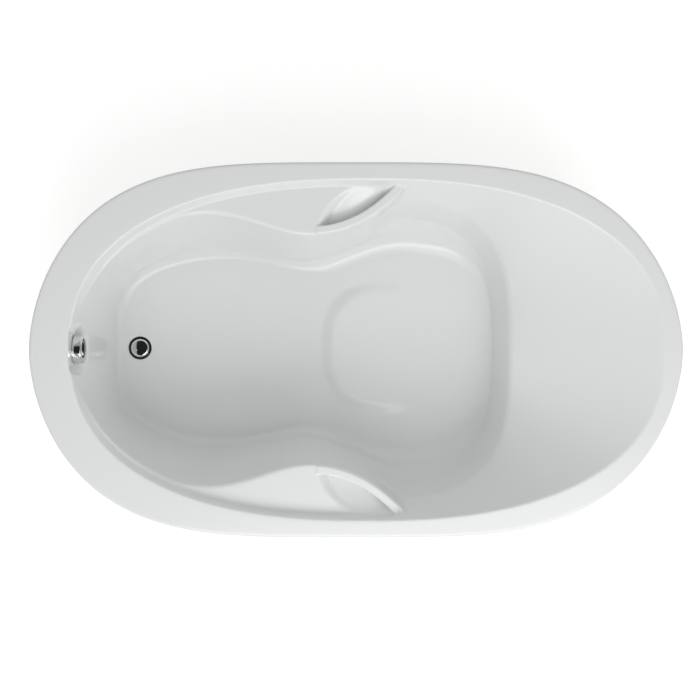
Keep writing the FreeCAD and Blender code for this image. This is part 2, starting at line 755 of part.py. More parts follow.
def cross_rail(x):
    """A channel with its flanges down, drilled for the studs and the screws."""
    half = RAIL_WIDTH / 2
    inner = half - RAIL_GAUGE
    foot = BOARD_UNDER - RAIL_HEIGHT
    end = LEG_SPREAD / 2 + RAIL_OVERHANG
    shape = [(-half, foot), (-half, BOARD_UNDER), (half, BOARD_UNDER), (half, foot),
             (inner, foot), (inner, RAIL_WEB_UNDER), (-inner, RAIL_WEB_UNDER), (-inner, foot)]
    rail = prism([Vector(x + dx, -end, z) for dx, z in shape], Y_AXIS * (2 * end))
    stud_hole = STUD_RADIUS + STUD_CLEARANCE
    holes = [cylinder(stud_hole, RAIL_HEIGHT, Vector(x, side * LEG_SPREAD / 2, foot)) for side in (-1, 1)]
    screw_hole = SCREW_RADIUS + SCREW_CLEARANCE
    holes += [cylinder(screw_hole, RAIL_HEIGHT, Vector(x, y, foot)) for y in RAIL_SCREWS_AT]
    return rail.cut(holes)


def rail_screws():
    screws = []
    for place in screw_places():
        seat = place + Z_AXIS * RAIL_WEB_UNDER
        shank = cylinder(SCREW_RADIUS, RAIL_GAUGE + SCREW_BITE - SCREW_END_GAP, seat)
        head = turned([(0, 0), (SCREW_HEAD, 0), (SCREW_HEAD, -SCREW_HEAD_HEIGHT / 2),
                       (SCREW_CROWN, -SCREW_HEAD_HEIGHT), (0, -SCREW_HEAD_HEIGHT)], seat)
        screws.append(fused(shank, head))
    return Part.Compound(screws)


LEGS = {
    "front_left": Vector(RAIL_FRONT, LEG_SPREAD / 2, 0),
    "front_right": Vector(RAIL_FRONT, -LEG_SPREAD / 2, 0),
    "rear_left": Vector(RAIL_REAR, LEG_SPREAD / 2, 0),
    "rear_right": Vector(RAIL_REAR, -LEG_SPREAD / 2, 0),
}


def leg_nuts():
    bore = STUD_RADIUS + STUD_CLEARANCE
    nuts = []
    for place in LEGS.values():
        for foot in (BOARD_UNDER, RAIL_WEB_UNDER - NUT_HEIGHT):
            base = place + Z_AXIS * foot
            nuts.append(hexagon(NUT_FLATS, NUT_HEIGHT, base).cut(cylinder(bore, NUT_HEIGHT, base)))
    return Part.Compound(nuts)


def leg_stud(place):
    foot = PAD_HEIGHT - PAD_SOCKET
    return cylinder(STUD_RADIUS, FLOOR_UNDER - STUD_TOP_GAP - foot, place + Z_AXIS * foot)


def foot_pad(place):
    """A round foot with a domed shoulder and a blind socket for the stud."""
    neck = STUD_RADIUS + PAD_NECK_WALL
    profile = [(0, 0), (PAD_RADIUS - PAD_BEVEL, 0), (PAD_RADIUS, PAD_BEVEL), (PAD_RADIUS, PAD_RIM_HEIGHT),
               (neck, PAD_HEIGHT - PAD_COLLAR), (neck, PAD_HEIGHT), (0, PAD_HEIGHT)]
    socket = cylinder(STUD_RADIUS, PAD_SOCKET, place + Z_AXIS * (PAD_HEIGHT - PAD_SOCKET))
    return turned(profile, place).cut(socket)


# Drain and stopper

DRAIN = Vector(DRAIN_X, 0, 0)


def drain_flange():
    """A dished ring with a tube below it, and a three-armed spider that guides the stem."""
    foot = FLANGE_SEAT - DRAIN_TUBE_LENGTH
    edge = DRAIN_FLANGE_RADIUS
    profile = [(DRAIN_BORE, foot), (DRAIN_TUBE_RADIUS, foot), (DRAIN_TUBE_RADIUS, FLANGE_SEAT),
               (edge, FLANGE_SEAT), (edge, FLANGE_SEAT + FLANGE_EDGE), (edge - FLANGE_BEVEL, FLANGE_TOP),
               (STOPPER_RADIUS, FLANGE_TOP), (DRAIN_BORE, FLANGE_TOP - DRAIN_FLANGE_THICK)]
    body = turned(profile, DRAIN)
    base = DRAIN + Z_AXIS * foot
    hub = cylinder(HUB_RADIUS, SPIDER_HEIGHT, base)
    reach = (DRAIN_BORE + DRAIN_TUBE_RADIUS) / 2
    arms = []
    for i in range(3):
        arm = box(base + Vector(0, -SPIDER_ARM / 2, 0), base + Vector(reach, SPIDER_ARM / 2, SPIDER_HEIGHT))
        arm.rotate(base, Z_AXIS, 120 * i)
        arms.append(arm)
    guide = cylinder(STEM_RADIUS + STEM_CLEARANCE, SPIDER_HEIGHT, base)
    return fused(body, hub, *arms).cut(guide)


def drain_gasket():
    return ring(SHOE_FLANGE, DRAIN_TUBE_RADIUS + THREAD_CLEARANCE, GASKET_THICK, DRAIN + Z_AXIS * SHOE_TOP)


def socket_end(base, axis, length):
    """A round branch for a pipe, measured from the middle of its fitting."""
    return cylinder(SOCKET_RADIUS, length, base, axis)


def socket_bore(base, axis, length):
    way = cylinder(WATERWAY, length, base, axis)
    seat = cylinder(SOCKET_BORE, SOCKET_DEPTH, base + axis * (length - SOCKET_DEPTH), axis)
    return way.fuse(seat)


def drain_shoe():
    """A cup under the drain with a branch to the tee and a port for the cable."""
    top = DRAIN + Z_AXIS * SHOE_TOP
    down = Z_AXIS * -1
    flange = cylinder(SHOE_FLANGE, SHOE_FLANGE_THICK, top, down)
    cup = cylinder(SHOE_RADIUS, SHOE_DEPTH, top, down)
    middle = DRAIN + Z_AXIS * PIPE_Z
    branch = socket_end(middle, -X_AXIS, SHOE_REACH)
    port_base = DRAIN + Z_AXIS * CABLE_Z
    port = cylinder(CABLE_PORT, SHOE_RADIUS + PORT_REACH, port_base, Y_AXIS)
    body = fused(cup, flange, branch, port)
    cavity = cylinder(DRAIN_TUBE_RADIUS + THREAD_CLEARANCE, SHOE_DEPTH - SHOE_BOTTOM, top, down)
    cable_bore = cylinder(CABLE_RADIUS + CABLE_CLEARANCE, SHOE_RADIUS + PORT_REACH, port_base, Y_AXIS)
    pin_start = rocker_pivot() - X_AXIS * SHOE_RADIUS
    pin_hole = cylinder(PIN_RADIUS + PIN_CLEARANCE, 2 * SHOE_RADIUS, pin_start, X_AXIS)
    return body.cut([cavity, socket_bore(middle, -X_AXIS, SHOE_REACH), cable_bore, pin_hole])


def stopper_cap():
    """A low dome with a small flat crown, which covers the drain's opening."""
    base = DRAIN + Z_AXIS * (FLANGE_TOP + STOPPER_GAP)
    foot = base + X_AXIS * STOPPER_RADIUS
    edge = foot + Z_AXIS * STOPPER_EDGE
    crown = base + Vector(STOPPER_CROWN, 0, STOPPER_HEIGHT)
    shoulder = (edge + crown) * 0.5 + Vector(STOPPER_BULGE / 2, 0, STOPPER_BULGE)
    top = base + Z_AXIS * STOPPER_HEIGHT
    dome = Part.Arc(edge, shoulder, crown).toShape()
    outline = [Part.makeLine(base, foot), Part.makeLine(foot, edge), dome,
               Part.makeLine(crown, top), Part.makeLine(top, base)]
    return Part.Face(Part.Wire(outline)).revolve(base, Z_AXIS, 360)


def stopper_seal():
    foot = FLANGE_TOP + STOPPER_GAP - SEAL_HEIGHT
    return ring(DRAIN_BORE - 2 * STOPPER_GAP, STEM_RADIUS, SEAL_HEIGHT, DRAIN + Z_AXIS * foot)


def stopper_stem():
    foot = ROCKER_Z + ROCKER_THICK / 2 + STOPPER_GAP
    return cylinder(STEM_RADIUS, FLANGE_TOP + STOPPER_GAP - foot, DRAIN + Z_AXIS * foot)


def rocker_pivot():
    return Vector(DRAIN_X, ROCKER_ARM, ROCKER_Z)


def lift_rocker():
    """A bell crank: one arm under the stem, a tail down to the cable."""
    pivot = rocker_pivot()
    half = ROCKER_WIDTH / 2
    thick = ROCKER_THICK / 2
    hub = cylinder(ROCKER_HUB, ROCKER_WIDTH, pivot - X_AXIS * half, X_AXIS)
    arm = box(pivot + Vector(-half, -ROCKER_ARM - ROCKER_TIP, -thick), pivot + Vector(half, 0, thick))
    tail = box(pivot + Vector(-half, -thick, -ROCKER_TAIL), pivot + Vector(half, thick, 0))
    bore = cylinder(PIN_RADIUS + PIN_CLEARANCE, ROCKER_WIDTH, pivot - X_AXIS * half, X_AXIS)
    return fused(hub, arm, tail).cut(bore)


def rocker_pin():
    chord = math.sqrt(SHOE_RADIUS ** 2 - ROCKER_ARM ** 2)
    half = chord - PIN_END_GAP
    return cylinder(PIN_RADIUS, 2 * half, rocker_pivot() - X_AXIS * half, X_AXIS)


# Waste run

def socket_places():
    """The open end and outward direction of each socket that a slip nut closes on a pipe."""
    return [
        (Vector(DRAIN_X - SHOE_REACH, 0, PIPE_Z), -X_AXIS),
        (Vector(PIPE_X + TEE_REACH, 0, PIPE_Z), X_AXIS),
        (Vector(PIPE_X, 0, PIPE_Z + TEE_UP), Z_AXIS),
        (Vector(PIPE_X, 0, OVERFLOW_Z - ELBOW_DOWN), -Z_AXIS),
    ]


def slip_nut(end, axis):
    """A nut that screws over the socket and closes on the pipe, with ribs for the hand."""
    foot = -NUT_SKIRT
    shoulder = WASHER_THICK
    top = WASHER_THICK + NUT_CAP
    skirt = SOCKET_RADIUS + THREAD_CLEARANCE
    hole = PIPE_RADIUS + SOCKET_CLEARANCE
    rim = NUT_RADIUS - NUT_BEVEL
    shelf = top - NUT_BEVEL
    profile = [(skirt, foot), (NUT_RADIUS, foot), (NUT_RADIUS, shelf), (rim, top), (hole, top),
               (hole, shoulder), (skirt, shoulder)]
    body = turned(profile, end, axis)
    side = Z_AXIS if abs(axis.z) < 0.5 else X_AXIS
    ribs = []
    for i in range(NUT_RIBS):
        rib = cylinder(RIB_RADIUS, shelf - foot, end + axis * foot + side * (NUT_RADIUS - RIB_SINK), axis)
        rib.rotate(end, axis, 360 / NUT_RIBS * i)
        ribs.append(rib)
    return fused(body, *ribs)


def slip_nuts():
    return Part.Compound([slip_nut(end, axis) for end, axis in socket_places()])


def slip_washers():
    hole = PIPE_RADIUS + SOCKET_CLEARANCE
    places = socket_places()
    return Part.Compound([ring(SOCKET_RADIUS, hole, WASHER_THICK, end, axis) for end, axis in places])


def waste_tee():
    middle = Vector(PIPE_X, 0, PIPE_Z)
    foot = middle - Z_AXIS * TEE_DOWN
    upright = cylinder(SOCKET_RADIUS, TEE_UP + TEE_DOWN, foot)
    barrel = cylinder(TEE_BARREL, 2 * TEE_BARREL, middle - Z_AXIS * TEE_BARREL)
    side = socket_end(middle, X_AXIS, TEE_REACH)
    way = cylinder(WATERWAY, TEE_UP + TEE_DOWN, foot)
    seats = [cylinder(SOCKET_BORE, SOCKET_DEPTH, foot),
             cylinder(SOCKET_BORE, SOCKET_DEPTH, middle + Z_AXIS * (TEE_UP - SOCKET_DEPTH)),
             cylinder(SOCKET_BORE, SOCKET_DEPTH, middle + X_AXIS * (TEE_REACH - SOCKET_DEPTH), X_AXIS)]
    side_way = cylinder(SIDE_WATERWAY, TEE_REACH, middle, X_AXIS)
    return fused(upright, barrel, side).cut([way, side_way] + seats)


def pipe(start, axis, length):
    return ring(PIPE_RADIUS, PIPE_RADIUS - PIPE_WALL, length, start, axis)


def shoe_pipe():
    start = PIPE_X + TEE_REACH - SOCKET_DEPTH
    end = DRAIN_X - SHOE_REACH + SOCKET_DEPTH
    return pipe(Vector(start, 0, PIPE_Z), X_AXIS, end - start)


def overflow_pipe():
    start = PIPE_Z + TEE_UP - SOCKET_DEPTH
    end = OVERFLOW_Z - ELBOW_DOWN + SOCKET_DEPTH
    return pipe(Vector(PIPE_X, 0, start), Z_AXIS, end - start)


# Overflow and knob

def overflow_point(x):
    return Vector(x, 0, OVERFLOW_Z)


def lug_offsets():
    return [Y_AXIS * LUGS_AT, Y_AXIS * -LUGS_AT]


def overflow_gasket():
    return ring(ELBOW_FLANGE, HOLE_RADIUS + GASKET_MARGIN, GASKET_THICK, overflow_point(ELBOW_FACE), X_AXIS)


def overflow_elbow():
    """A round box behind the wall, with a socket below, screw lugs, a spindle bearing and a cable port."""
    face = overflow_point(ELBOW_FACE)
    back = -X_AXIS
    length = ELBOW_FACE - ELBOW_END
    flange = cylinder(ELBOW_FLANGE, ELBOW_FLANGE_THICK, face, back)
    barrel = cylinder(ELBOW_RADIUS, length, face, back)
    middle = overflow_point(PIPE_X)
    branch = socket_end(middle, -Z_AXIS, ELBOW_DOWN)
    port = cylinder(CABLE_PORT, ELBOW_RADIUS + PORT_REACH, middle, Y_AXIS)
    body = fused(barrel, flange, branch, port)
    cavity = cylinder(ELBOW_RADIUS - ELBOW_WALL, length - ELBOW_WALL, face, back)
    way = socket_bore(middle, -Z_AXIS, ELBOW_DOWN)
    cable_bore = cylinder(CABLE_RADIUS + CABLE_CLEARANCE, ELBOW_RADIUS + PORT_REACH, middle, Y_AXIS)
    body = body.cut([cavity, way, cable_bore])
    end_wall = overflow_point(ELBOW_END + ELBOW_WALL)
    bearing = cylinder(SPINDLE_RADIUS + BEARING_WALL, SPINDLE_BEARING, end_wall, X_AXIS)
    lugs = [cylinder(LUG_RADIUS, LUG_LENGTH, face + place, back) for place in lug_offsets()]
    bores = [cylinder(SPINDLE_RADIUS + SPINDLE_CLEARANCE, SPINDLE_BEARING, end_wall, X_AXIS)]
    screw_hole = LUG_SCREW + SCREW_CLEARANCE
    bores += [cylinder(screw_hole, LUG_LENGTH, face + place, back) for place in lug_offsets()]
    return fused(body, bearing, *lugs).cut(bores)


def overflow_plate():
    """The ring inside the bath: a bearing for the spindle, water holes and two screw holes."""
    base = overflow_point(NICHE_X)
    plate = cylinder(PLATE_RADIUS, PLATE_THICK, base, X_AXIS)
    holes = [cylinder(SPINDLE_RADIUS + SPINDLE_CLEARANCE, PLATE_THICK, base, X_AXIS)]
    for i in range(4):
        turn = math.radians(45 + 90 * i)
        place = base + Vector(0, math.cos(turn), math.sin(turn)) * PLATE_HOLES_AT
        holes.append(cylinder(PLATE_HOLE, PLATE_THICK, place, X_AXIS))
    screw_hole = LUG_SCREW + SCREW_CLEARANCE
    holes += [cylinder(screw_hole, PLATE_THICK, base + place, X_AXIS) for place in lug_offsets()]
    return plate.cut(holes)


def overflow_screws():
    head_seat = overflow_point(NICHE_X + PLATE_THICK)
    length = NICHE_X + PLATE_THICK - ELBOW_FACE + LUG_LENGTH - LUG_SCREW_END_GAP
    screws = []
    for place in lug_offsets():
        shank = cylinder(LUG_SCREW, length, head_seat + place, -X_AXIS)
        head = cylinder(LUG_SCREW_HEAD, LUG_SCREW_HEAD_HEIGHT, head_seat + place, X_AXIS)
        screws.append(fused(shank, head))
    return Part.Compound(screws)


def overflow_knob():
    """A round cap with a bevelled front edge and a hub on the spindle."""
    front = KNOB_LENGTH
    inner = front - KNOB_FACE
    nose = KNOB_RADIUS - KNOB_TAPER
    bore = SPINDLE_RADIUS + HUB_CLEARANCE
    profile = [(KNOB_RADIUS - KNOB_WALL, 0), (KNOB_RADIUS, 0), (nose, front - KNOB_CHAMFER),
               (nose - KNOB_CHAMFER, front), (0, front), (0, inner), (bore, inner), (bore, KNOB_HUB_INSET),
               (KNOB_HUB, KNOB_HUB_INSET), (KNOB_HUB, inner), (nose - KNOB_WALL - KNOB_TAPER, inner)]
    return turned(profile, overflow_point(NICHE_X + KNOB_GAP), X_AXIS)


def knob_spindle():
    start = ELBOW_END + ELBOW_WALL + SPINDLE_END_GAP
    end = NICHE_X + KNOB_GAP + KNOB_LENGTH - KNOB_FACE
    return cylinder(SPINDLE_RADIUS, end - start, overflow_point(start), X_AXIS)


def cable_drum():
    half = DRUM_WIDTH / 2
    groove = half - DRUM_FLANGE
    bore = SPINDLE_RADIUS + HUB_CLEARANCE
    profile = [(bore, -half), (DRUM_RADIUS, -half), (DRUM_RADIUS, -groove), (DRUM_GROOVE, -groove),
               (DRUM_GROOVE, groove), (DRUM_RADIUS, groove), (DRUM_RADIUS, half), (bore, half)]
    return turned(profile, overflow_point(PIPE_X), X_AXIS)


def rounded_path(points, radii):
    """Straight runs joined by tangent arcs."""
    edges = []
    start = points[0]
    for before, point, after, radius in zip(points, points[1:], points[2:], radii):
        to_before = (before - point).normalize()
        to_after = (after - point).normalize()
        half_angle = to_before.getAngle(to_after) / 2
        tangent = radius / math.tan(half_angle)
        bisector = (to_before + to_after).normalize()
        first = point + to_before * tangent
        last = point + to_after * tangent
        centre = point + bisector * (radius / math.sin(half_angle))
        edges.append(Part.LineSegment(start, first).toShape())
        edges.append(Part.Arc(first, centre - bisector * radius, last).toShape())
        start = last
    edges.append(Part.LineSegment(start, points[-1]).toShape())
    return Part.Wire(edges)


def lift_cable():
    """The cable's sleeve: out of the elbow, down beside the overflow pipe and into the shoe."""
    elbow_port = ELBOW_RADIUS + PORT_REACH - PORT_GRIP
    shoe_port = SHOE_RADIUS + PORT_REACH - PORT_GRIP
    points = [Vector(PIPE_X, elbow_port, OVERFLOW_Z), Vector(PIPE_X, CABLE_SIDE, OVERFLOW_Z),
              Vector(PIPE_X, CABLE_SIDE, CABLE_Z), Vector(DRAIN_X, CABLE_SIDE, CABLE_Z),
              Vector(DRAIN_X, shoe_port, CABLE_Z)]
    path = rounded_path(points, CABLE_BENDS)
    section_wire = Part.Wire(Part.makeCircle(CABLE_RADIUS, points[0], Y_AXIS))
    return path.makePipeShell([section_wire], True, False)


def main():
    os.makedirs("parts", exist_ok=True)
    nodes = {
        "tub_shell": tub_shell(),
        "tap_deck_board": tap_deck_board(),
        "base_board": base_board(),
        "seat_packer": seat_packer(),
        "front_rail": cross_rail(RAIL_FRONT),
        "rear_rail": cross_rail(RAIL_REAR),
        "rail_screws": rail_screws(),
        "leg_nuts": leg_nuts(),
        "drain_flange": drain_flange(),
        "drain_gasket": drain_gasket(),
        "drain_shoe": drain_shoe(),
        "stopper_cap": stopper_cap(),
        "stopper_seal": stopper_seal(),
        "stopper_stem": stopper_stem(),
        "lift_rocker": lift_rocker(),
        "rocker_pin": rocker_pin(),
        "shoe_pipe": shoe_pipe(),
        "waste_tee": waste_tee(),
        "overflow_pipe": overflow_pipe(),
        "slip_nuts": slip_nuts(),
        "slip_washers": slip_washers(),
        "overflow_gasket": overflow_gasket(),
        "overflow_elbow": overflow_elbow(),
        "overflow_plate": overflow_plate(),
        "overflow_screws": overflow_screws(),
        "overflow_knob": overflow_knob(),
        "knob_spindle": knob_spindle(),
        "cable_drum": cable_drum(),
        "lift_cable": lift_cable(),
    }
    for name, place in LEGS.items():
        nodes["leg_stud_" + name] = leg_stud(place)
        nodes["foot_pad_" + name] = foot_pad(place)
    for name, shape in nodes.items():
        shape.exportStep("parts/" + name + ".step")


main()
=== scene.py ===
import json
import math

import bpy
import numpy as np
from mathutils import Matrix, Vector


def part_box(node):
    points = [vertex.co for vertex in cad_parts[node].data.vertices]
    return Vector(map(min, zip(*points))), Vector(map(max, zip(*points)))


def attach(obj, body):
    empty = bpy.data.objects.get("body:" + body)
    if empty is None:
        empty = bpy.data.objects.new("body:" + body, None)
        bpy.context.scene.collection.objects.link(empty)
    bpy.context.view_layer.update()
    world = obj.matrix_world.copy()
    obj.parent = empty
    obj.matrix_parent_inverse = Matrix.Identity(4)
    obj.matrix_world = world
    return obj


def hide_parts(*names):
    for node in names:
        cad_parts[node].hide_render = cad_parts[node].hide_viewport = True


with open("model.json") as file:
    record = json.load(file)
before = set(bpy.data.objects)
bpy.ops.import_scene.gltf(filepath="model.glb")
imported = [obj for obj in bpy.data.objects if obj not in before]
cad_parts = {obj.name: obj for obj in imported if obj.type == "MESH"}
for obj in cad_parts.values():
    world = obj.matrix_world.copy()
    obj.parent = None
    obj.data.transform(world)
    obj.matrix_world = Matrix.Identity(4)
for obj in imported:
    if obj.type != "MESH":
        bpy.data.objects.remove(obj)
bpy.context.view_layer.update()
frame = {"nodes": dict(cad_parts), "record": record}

# All sizes are in metres: x runs from the foot end to the head end, y across, z up

# Rim: its box comes from the frame, the rest are the moulding's own sizes
RIM_LOW, RIM_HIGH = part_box("tub_shell")
RIM_HALF_LENGTH = (RIM_HIGH[0] - RIM_LOW[0]) / 2
RIM_HALF_WIDTH = (RIM_HIGH[1] - RIM_LOW[1]) / 2
RIM_TOP = RIM_HIGH[2]
RIM_FOOT_FULLNESS = 3.9
RIM_HEAD_FULLNESS = 3.7
RIM_TIP_ROUNDNESS = 1.8
LIP_DEPTH = 0.038
SHELL_WALL = 0.008

# Mouth of the basin, inside the flat ledges of the rim
TAP_LEDGE = 0.117
SIDE_LEDGE = 0.050
HEAD_LEDGE = 0.053
MOUTH_SQUARENESS = 2.4
MOUTH_MIDDLE = 0.032
MOUTH_FOOT = -RIM_HALF_LENGTH + TAP_LEDGE
MOUTH_HEAD = RIM_HALF_LENGTH - HEAD_LEDGE
MOUTH_HALF = RIM_HALF_WIDTH - SIDE_LEDGE

# Armrest shelf: a step below the rim, widest at its waist, a narrow ledge towards the foot end
SHELF_DROP = 0.034
SHELF_Z = RIM_TOP - SHELF_DROP
STEP_RUN = 0.012
SHELF_WIDTH = 0.137
SHELF_WAIST = -0.113
SHELF_TAPER = 0.248
SHELF_FALL = 0.0015
LEDGE_WIDTH = 0.010
LEDGE_FULL = 0.008
SHELF_FULL = 0.020
PLAIN_EDGE = 0.014

# Grip: a bar along the shelf's basin edge, and a finger scoop behind it
GRIP_RUN = 0.258
GRIP_SWEEP = 2.1
GRIP_BAR = 0.024
GRIP_WALL = 0.005
GRIP_DEPTH = 0.036
GRIP_SKEW = 0.100
GRIP_SKEW_SWEEP = 2.2
GRIP_END = 0.116
GRIP_END_RUN = 0.045
GRIP_BEVEL = 0.034
BAR_RISE = 0.004
BAR_END = 0.122
BAR_EDGE = 0.005
LEAST_WIDTH = 0.02
DEEPEST_SHARE = 0.9

# Backrest: a long slope down to a knee, then a steeper riser
KNEE_REACH = 0.460
KNEE_HALF_WIDTH = 0.431
KNEE_SQUARENESS = 3.2
KNEE_DROP = 0.250
KNEE_SIDE_DROP = 0.120
RISER_RUN = 0.034
RISER_DROP = 0.403
RISER_SIDE_DROP = 0.290
BACK_OUTER_SHARE = 0.10
BACK_INNER_SHARE = 0.22

# Floor of the basin: an hourglass with a pinched waist
BASIN_DEPTH = 0.445
FLOOR_TOP = RIM_TOP - BASIN_DEPTH
FLOOR_FOOT = -0.746
FLOOR_HEAD = 0.423
FLOOR_MIDDLE = 0.040
FOOT_HALF_WIDTH = 0.318
SEAT_HALF_WIDTH = 0.340
FOOT_SQUARENESS = 3.8
SEAT_SQUARENESS = 3.3
WAIST = -0.150
WAIST_PINCH = 0.050
WAIST_TO_FOOT = 0.200
WAIST_TO_SEAT = 0.150
WAIST_FLARE = 0.270
FLOOR_FILLET = 0.050
FOOT_FILLET = 0.028
FLOOR_FALL = 0.01

# Seat: a raised pad with a soft edge, and a ramp beside it
SEAT_RISE = 0.028
PAD_MIDDLE = 0.120
PAD_CENTRE = np.array([PAD_MIDDLE, 0.0])
PAD_FRONT = 0.185
PAD_BACK = 0.150
PAD_HALF_WIDTH = 0.170
PAD_SQUARENESS = 2.8
PAD_RISER = 0.25
RAMP_START = -0.100
RAMP_RUN = 0.300

# Drain and overflow: their places come from their CAD nodes
DRAIN_LOW, DRAIN_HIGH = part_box("drain_flange")
DRAIN_X = (DRAIN_LOW[0] + DRAIN_HIGH[0]) / 2
PLATE_LOW, PLATE_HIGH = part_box("overflow_plate")
NICHE_X = PLATE_LOW[0]
OVERFLOW_Z = (PLATE_LOW[2] + PLATE_HIGH[2]) / 2
NICHE_HALF_WIDTH = 0.059
NICHE_REACH = 0.06
NICHE_SOFTNESS = 0.036
HOLE_RADIUS = 0.026
RECESS_RADIUS = 0.041
RECESS_DEPTH = 0.002
RECESS_SOFTNESS = 0.003
BOSS_RADIUS = 0.052
BOSS_DEPTH = 0.003

# Ribs: a fan at the head end, parallel ribs beside the grip and on to the feet, a fan at the foot end
FAN_HEAD = 0.150
FAN_FOOT = -0.420
FAN_EASE = 1.5
SKIN_RIBS = (48, 80, 30, 104)
BACK_RIBS = (36, 40, 24, 60)
HALVINGS = 48

# Stations number the ribs: 0 to 90 round the head, 90 to 180 along the side, 180 to 270 round the foot end
QUARTER = 90.0
SHELF_STATION = 132.0

# Where one form gives way to another: the first station and how many stations it takes
KNEE_CLIMB = (20.0, 80.0)
BACK_FADE = (62.0, 26.0)
WALL_FADE = (86.0, 24.0)
SHELF_EDGE_FADE = (SHELF_STATION, 30.0)
FILLET_FADE = (200.0, 60.0)
LEDGE_FADE = (238.0, 20.0)

# Rounded corners of the section from the rim inwards: rim, mouth, step, shelf edge, knee, riser
CORNER_SIZES = (0.012, 0.006, 0.005, 0.009, 0.018, 0.012)
CORNER_ROWS = (8, 8, 6, 8, 6, 6)
SHELF_EDGE_CORNER = 3
SHELF_EDGE_SIZE = 0.014
CORNER_MOST = 0.45

# Rows of points on the straight stretches from corner to corner, then on the fillet and the floor
SKIN_ROWS = (2, 4, 2, 40, 8, 4, 4)
FILLET_ROWS = 14
SKIN_FLOOR_ROWS = (30, 18)
BACK_ROWS = (1, 3, 4, 3, 30, 8, 6, 6)
BACK_SHELF = 4
BACK_FLOOR_ROWS = (24, 10)
FLOOR_EASE = 1.8
PAD_TOP_SHARE = 0.9
PAD_INNER_SHARES = (0.8, 0.1)
PAD_INNER_ROWS = 6

# Rows across the shelf: the share of them that come before and up to the end of the bar's back wall
BEFORE_WALL = 0.45
PAST_WALL = 0.75
WALL_PLACE = (0.2, 0.9)
WALL_MOST = 0.08

NUDGE = 0.001
TINY = 1e-6


def smooth(share):
    """Eases from 0 to 1: three times the share's square less twice its cube."""
    share = np.clip(share, 0.0, 1.0)
    return share * share * (3.0 - 2.0 * share)


def oval(x, foot, head, middle, half, foot_squareness, head_squareness):
    """Half-breadth at x of an oval whose two ends have their own reach and squareness."""
    power = np.where(x > middle, head_squareness, foot_squareness)
    reach = np.where(x > middle, head - middle, middle - foot)
    share = np.minimum(np.abs(x - middle) / reach, 1.0)
    return half * (1.0 - share ** power) ** (1.0 / power)


def rim_edge(x):
    """Half-breadth of the rim, fuller along the sides than at its two tips."""
    fullness = np.where(x > 0, RIM_HEAD_FULLNESS, RIM_FOOT_FULLNESS)
    share = np.minimum(np.abs(x) / RIM_HALF_LENGTH, 1.0)
    return RIM_HALF_WIDTH * (1.0 - share ** fullness) ** (1.0 / RIM_TIP_ROUNDNESS)


def mouth_edge(x, inset=0.0):
    """Half-breadth of the basin's mouth: an oval, moved in by the inset."""
    return oval(x, MOUTH_FOOT + inset, MOUTH_HEAD - inset, MOUTH_MIDDLE, MOUTH_HALF - inset,
                MOUTH_SQUARENESS, MOUTH_SQUARENESS)


def step_edge(x):
    """Half-breadth at the foot of the step: the mouth moved in by the step's run."""
    return mouth_edge(x, STEP_RUN)


def shelf_edge(x):
    """The basin edge of the armrest shelf: a bell towards the feet, the grip's curve towards the head."""
    bell = np.maximum(np.exp(-((x - SHELF_WAIST) / SHELF_TAPER) ** 2), LEDGE_WIDTH / SHELF_WIDTH)
    grip = 1.0 - np.clip((x - SHELF_WAIST) / GRIP_RUN, 0.0, 1.0) ** GRIP_SWEEP
    return np.maximum(step_edge(x) - SHELF_WIDTH * np.where(x < SHELF_WAIST, bell, grip), 0.0)


def knee_edge(x, inset=0.0):
    """Half-breadth of the knee, where the backrest breaks into its riser, moved in by the inset."""
    return oval(x, MOUTH_FOOT + inset, KNEE_REACH - inset, FLOOR_MIDDLE, KNEE_HALF_WIDTH - inset,
                KNEE_SQUARENESS, KNEE_SQUARENESS)


def riser_edge(x):
    """Half-breadth at the riser's foot: the knee moved in by the riser's run."""
    return knee_edge(x, RISER_RUN)


def floor_edge(x):
    """Half-breadth of the floor: an oval that widens towards the seat, less a bell at the waist."""
    flare = smooth((x - WAIST) / WAIST_FLARE)
    spread = np.where(x < WAIST, WAIST_TO_FOOT, WAIST_TO_SEAT)
    pinch = WAIST_PINCH * np.exp(-((x - WAIST) / spread) ** 2)
    half = FOOT_HALF_WIDTH + (SEAT_HALF_WIDTH - FOOT_HALF_WIDTH) * flare - pinch
    return oval(x, FLOOR_FOOT, FLOOR_HEAD, FLOOR_MIDDLE, half, FOOT_SQUARENESS, SEAT_SQUARENESS)


def pad_radius(turn):
    """Radius of the seat pad at a turn about its middle: a squarish oval, longer towards the feet."""
    reach = np.where(np.cos(turn) > 0, PAD_BACK, PAD_FRONT)
    along = (np.abs(np.cos(turn)) / reach) ** PAD_SQUARENESS
    across = (np.abs(np.sin(turn)) / PAD_HALF_WIDTH) ** PAD_SQUARENESS
    return (along + across) ** (-1.0 / PAD_SQUARENESS)


def seat_share(x, y, inset=0.0):
    """0 on the foot-well floor, 1 on the seat: a pad with a steep riser, and a ramp beside it."""
    share = (np.hypot(x - PAD_MIDDLE, y) + inset) / pad_radius(np.arctan2(y, x - PAD_MIDDLE))
    pad = 1.0 - smooth((share - 1.0) / PAD_RISER)
    ramp = smooth((x - RAMP_START) / RAMP_RUN)
    return ramp + (1.0 - ramp) * pad


def floor_height(x, y):
    """Height of the floor: a slight fall to the drain in the foot well, raised at the seat."""
    seat = seat_share(x, y)
    fall = FLOOR_FALL * np.maximum(np.minimum(x, RAMP_START) - DRAIN_X, 0.0)
    return FLOOR_TOP + fall * (1.0 - seat) + SEAT_RISE * seat


def under_height(x, y):
    """Height of the floor's under side: a wall below the drain's level, raised under the seat."""
    return FLOOR_TOP - SHELL_WALL + SEAT_RISE * seat_share(x, y, SHELL_WALL)


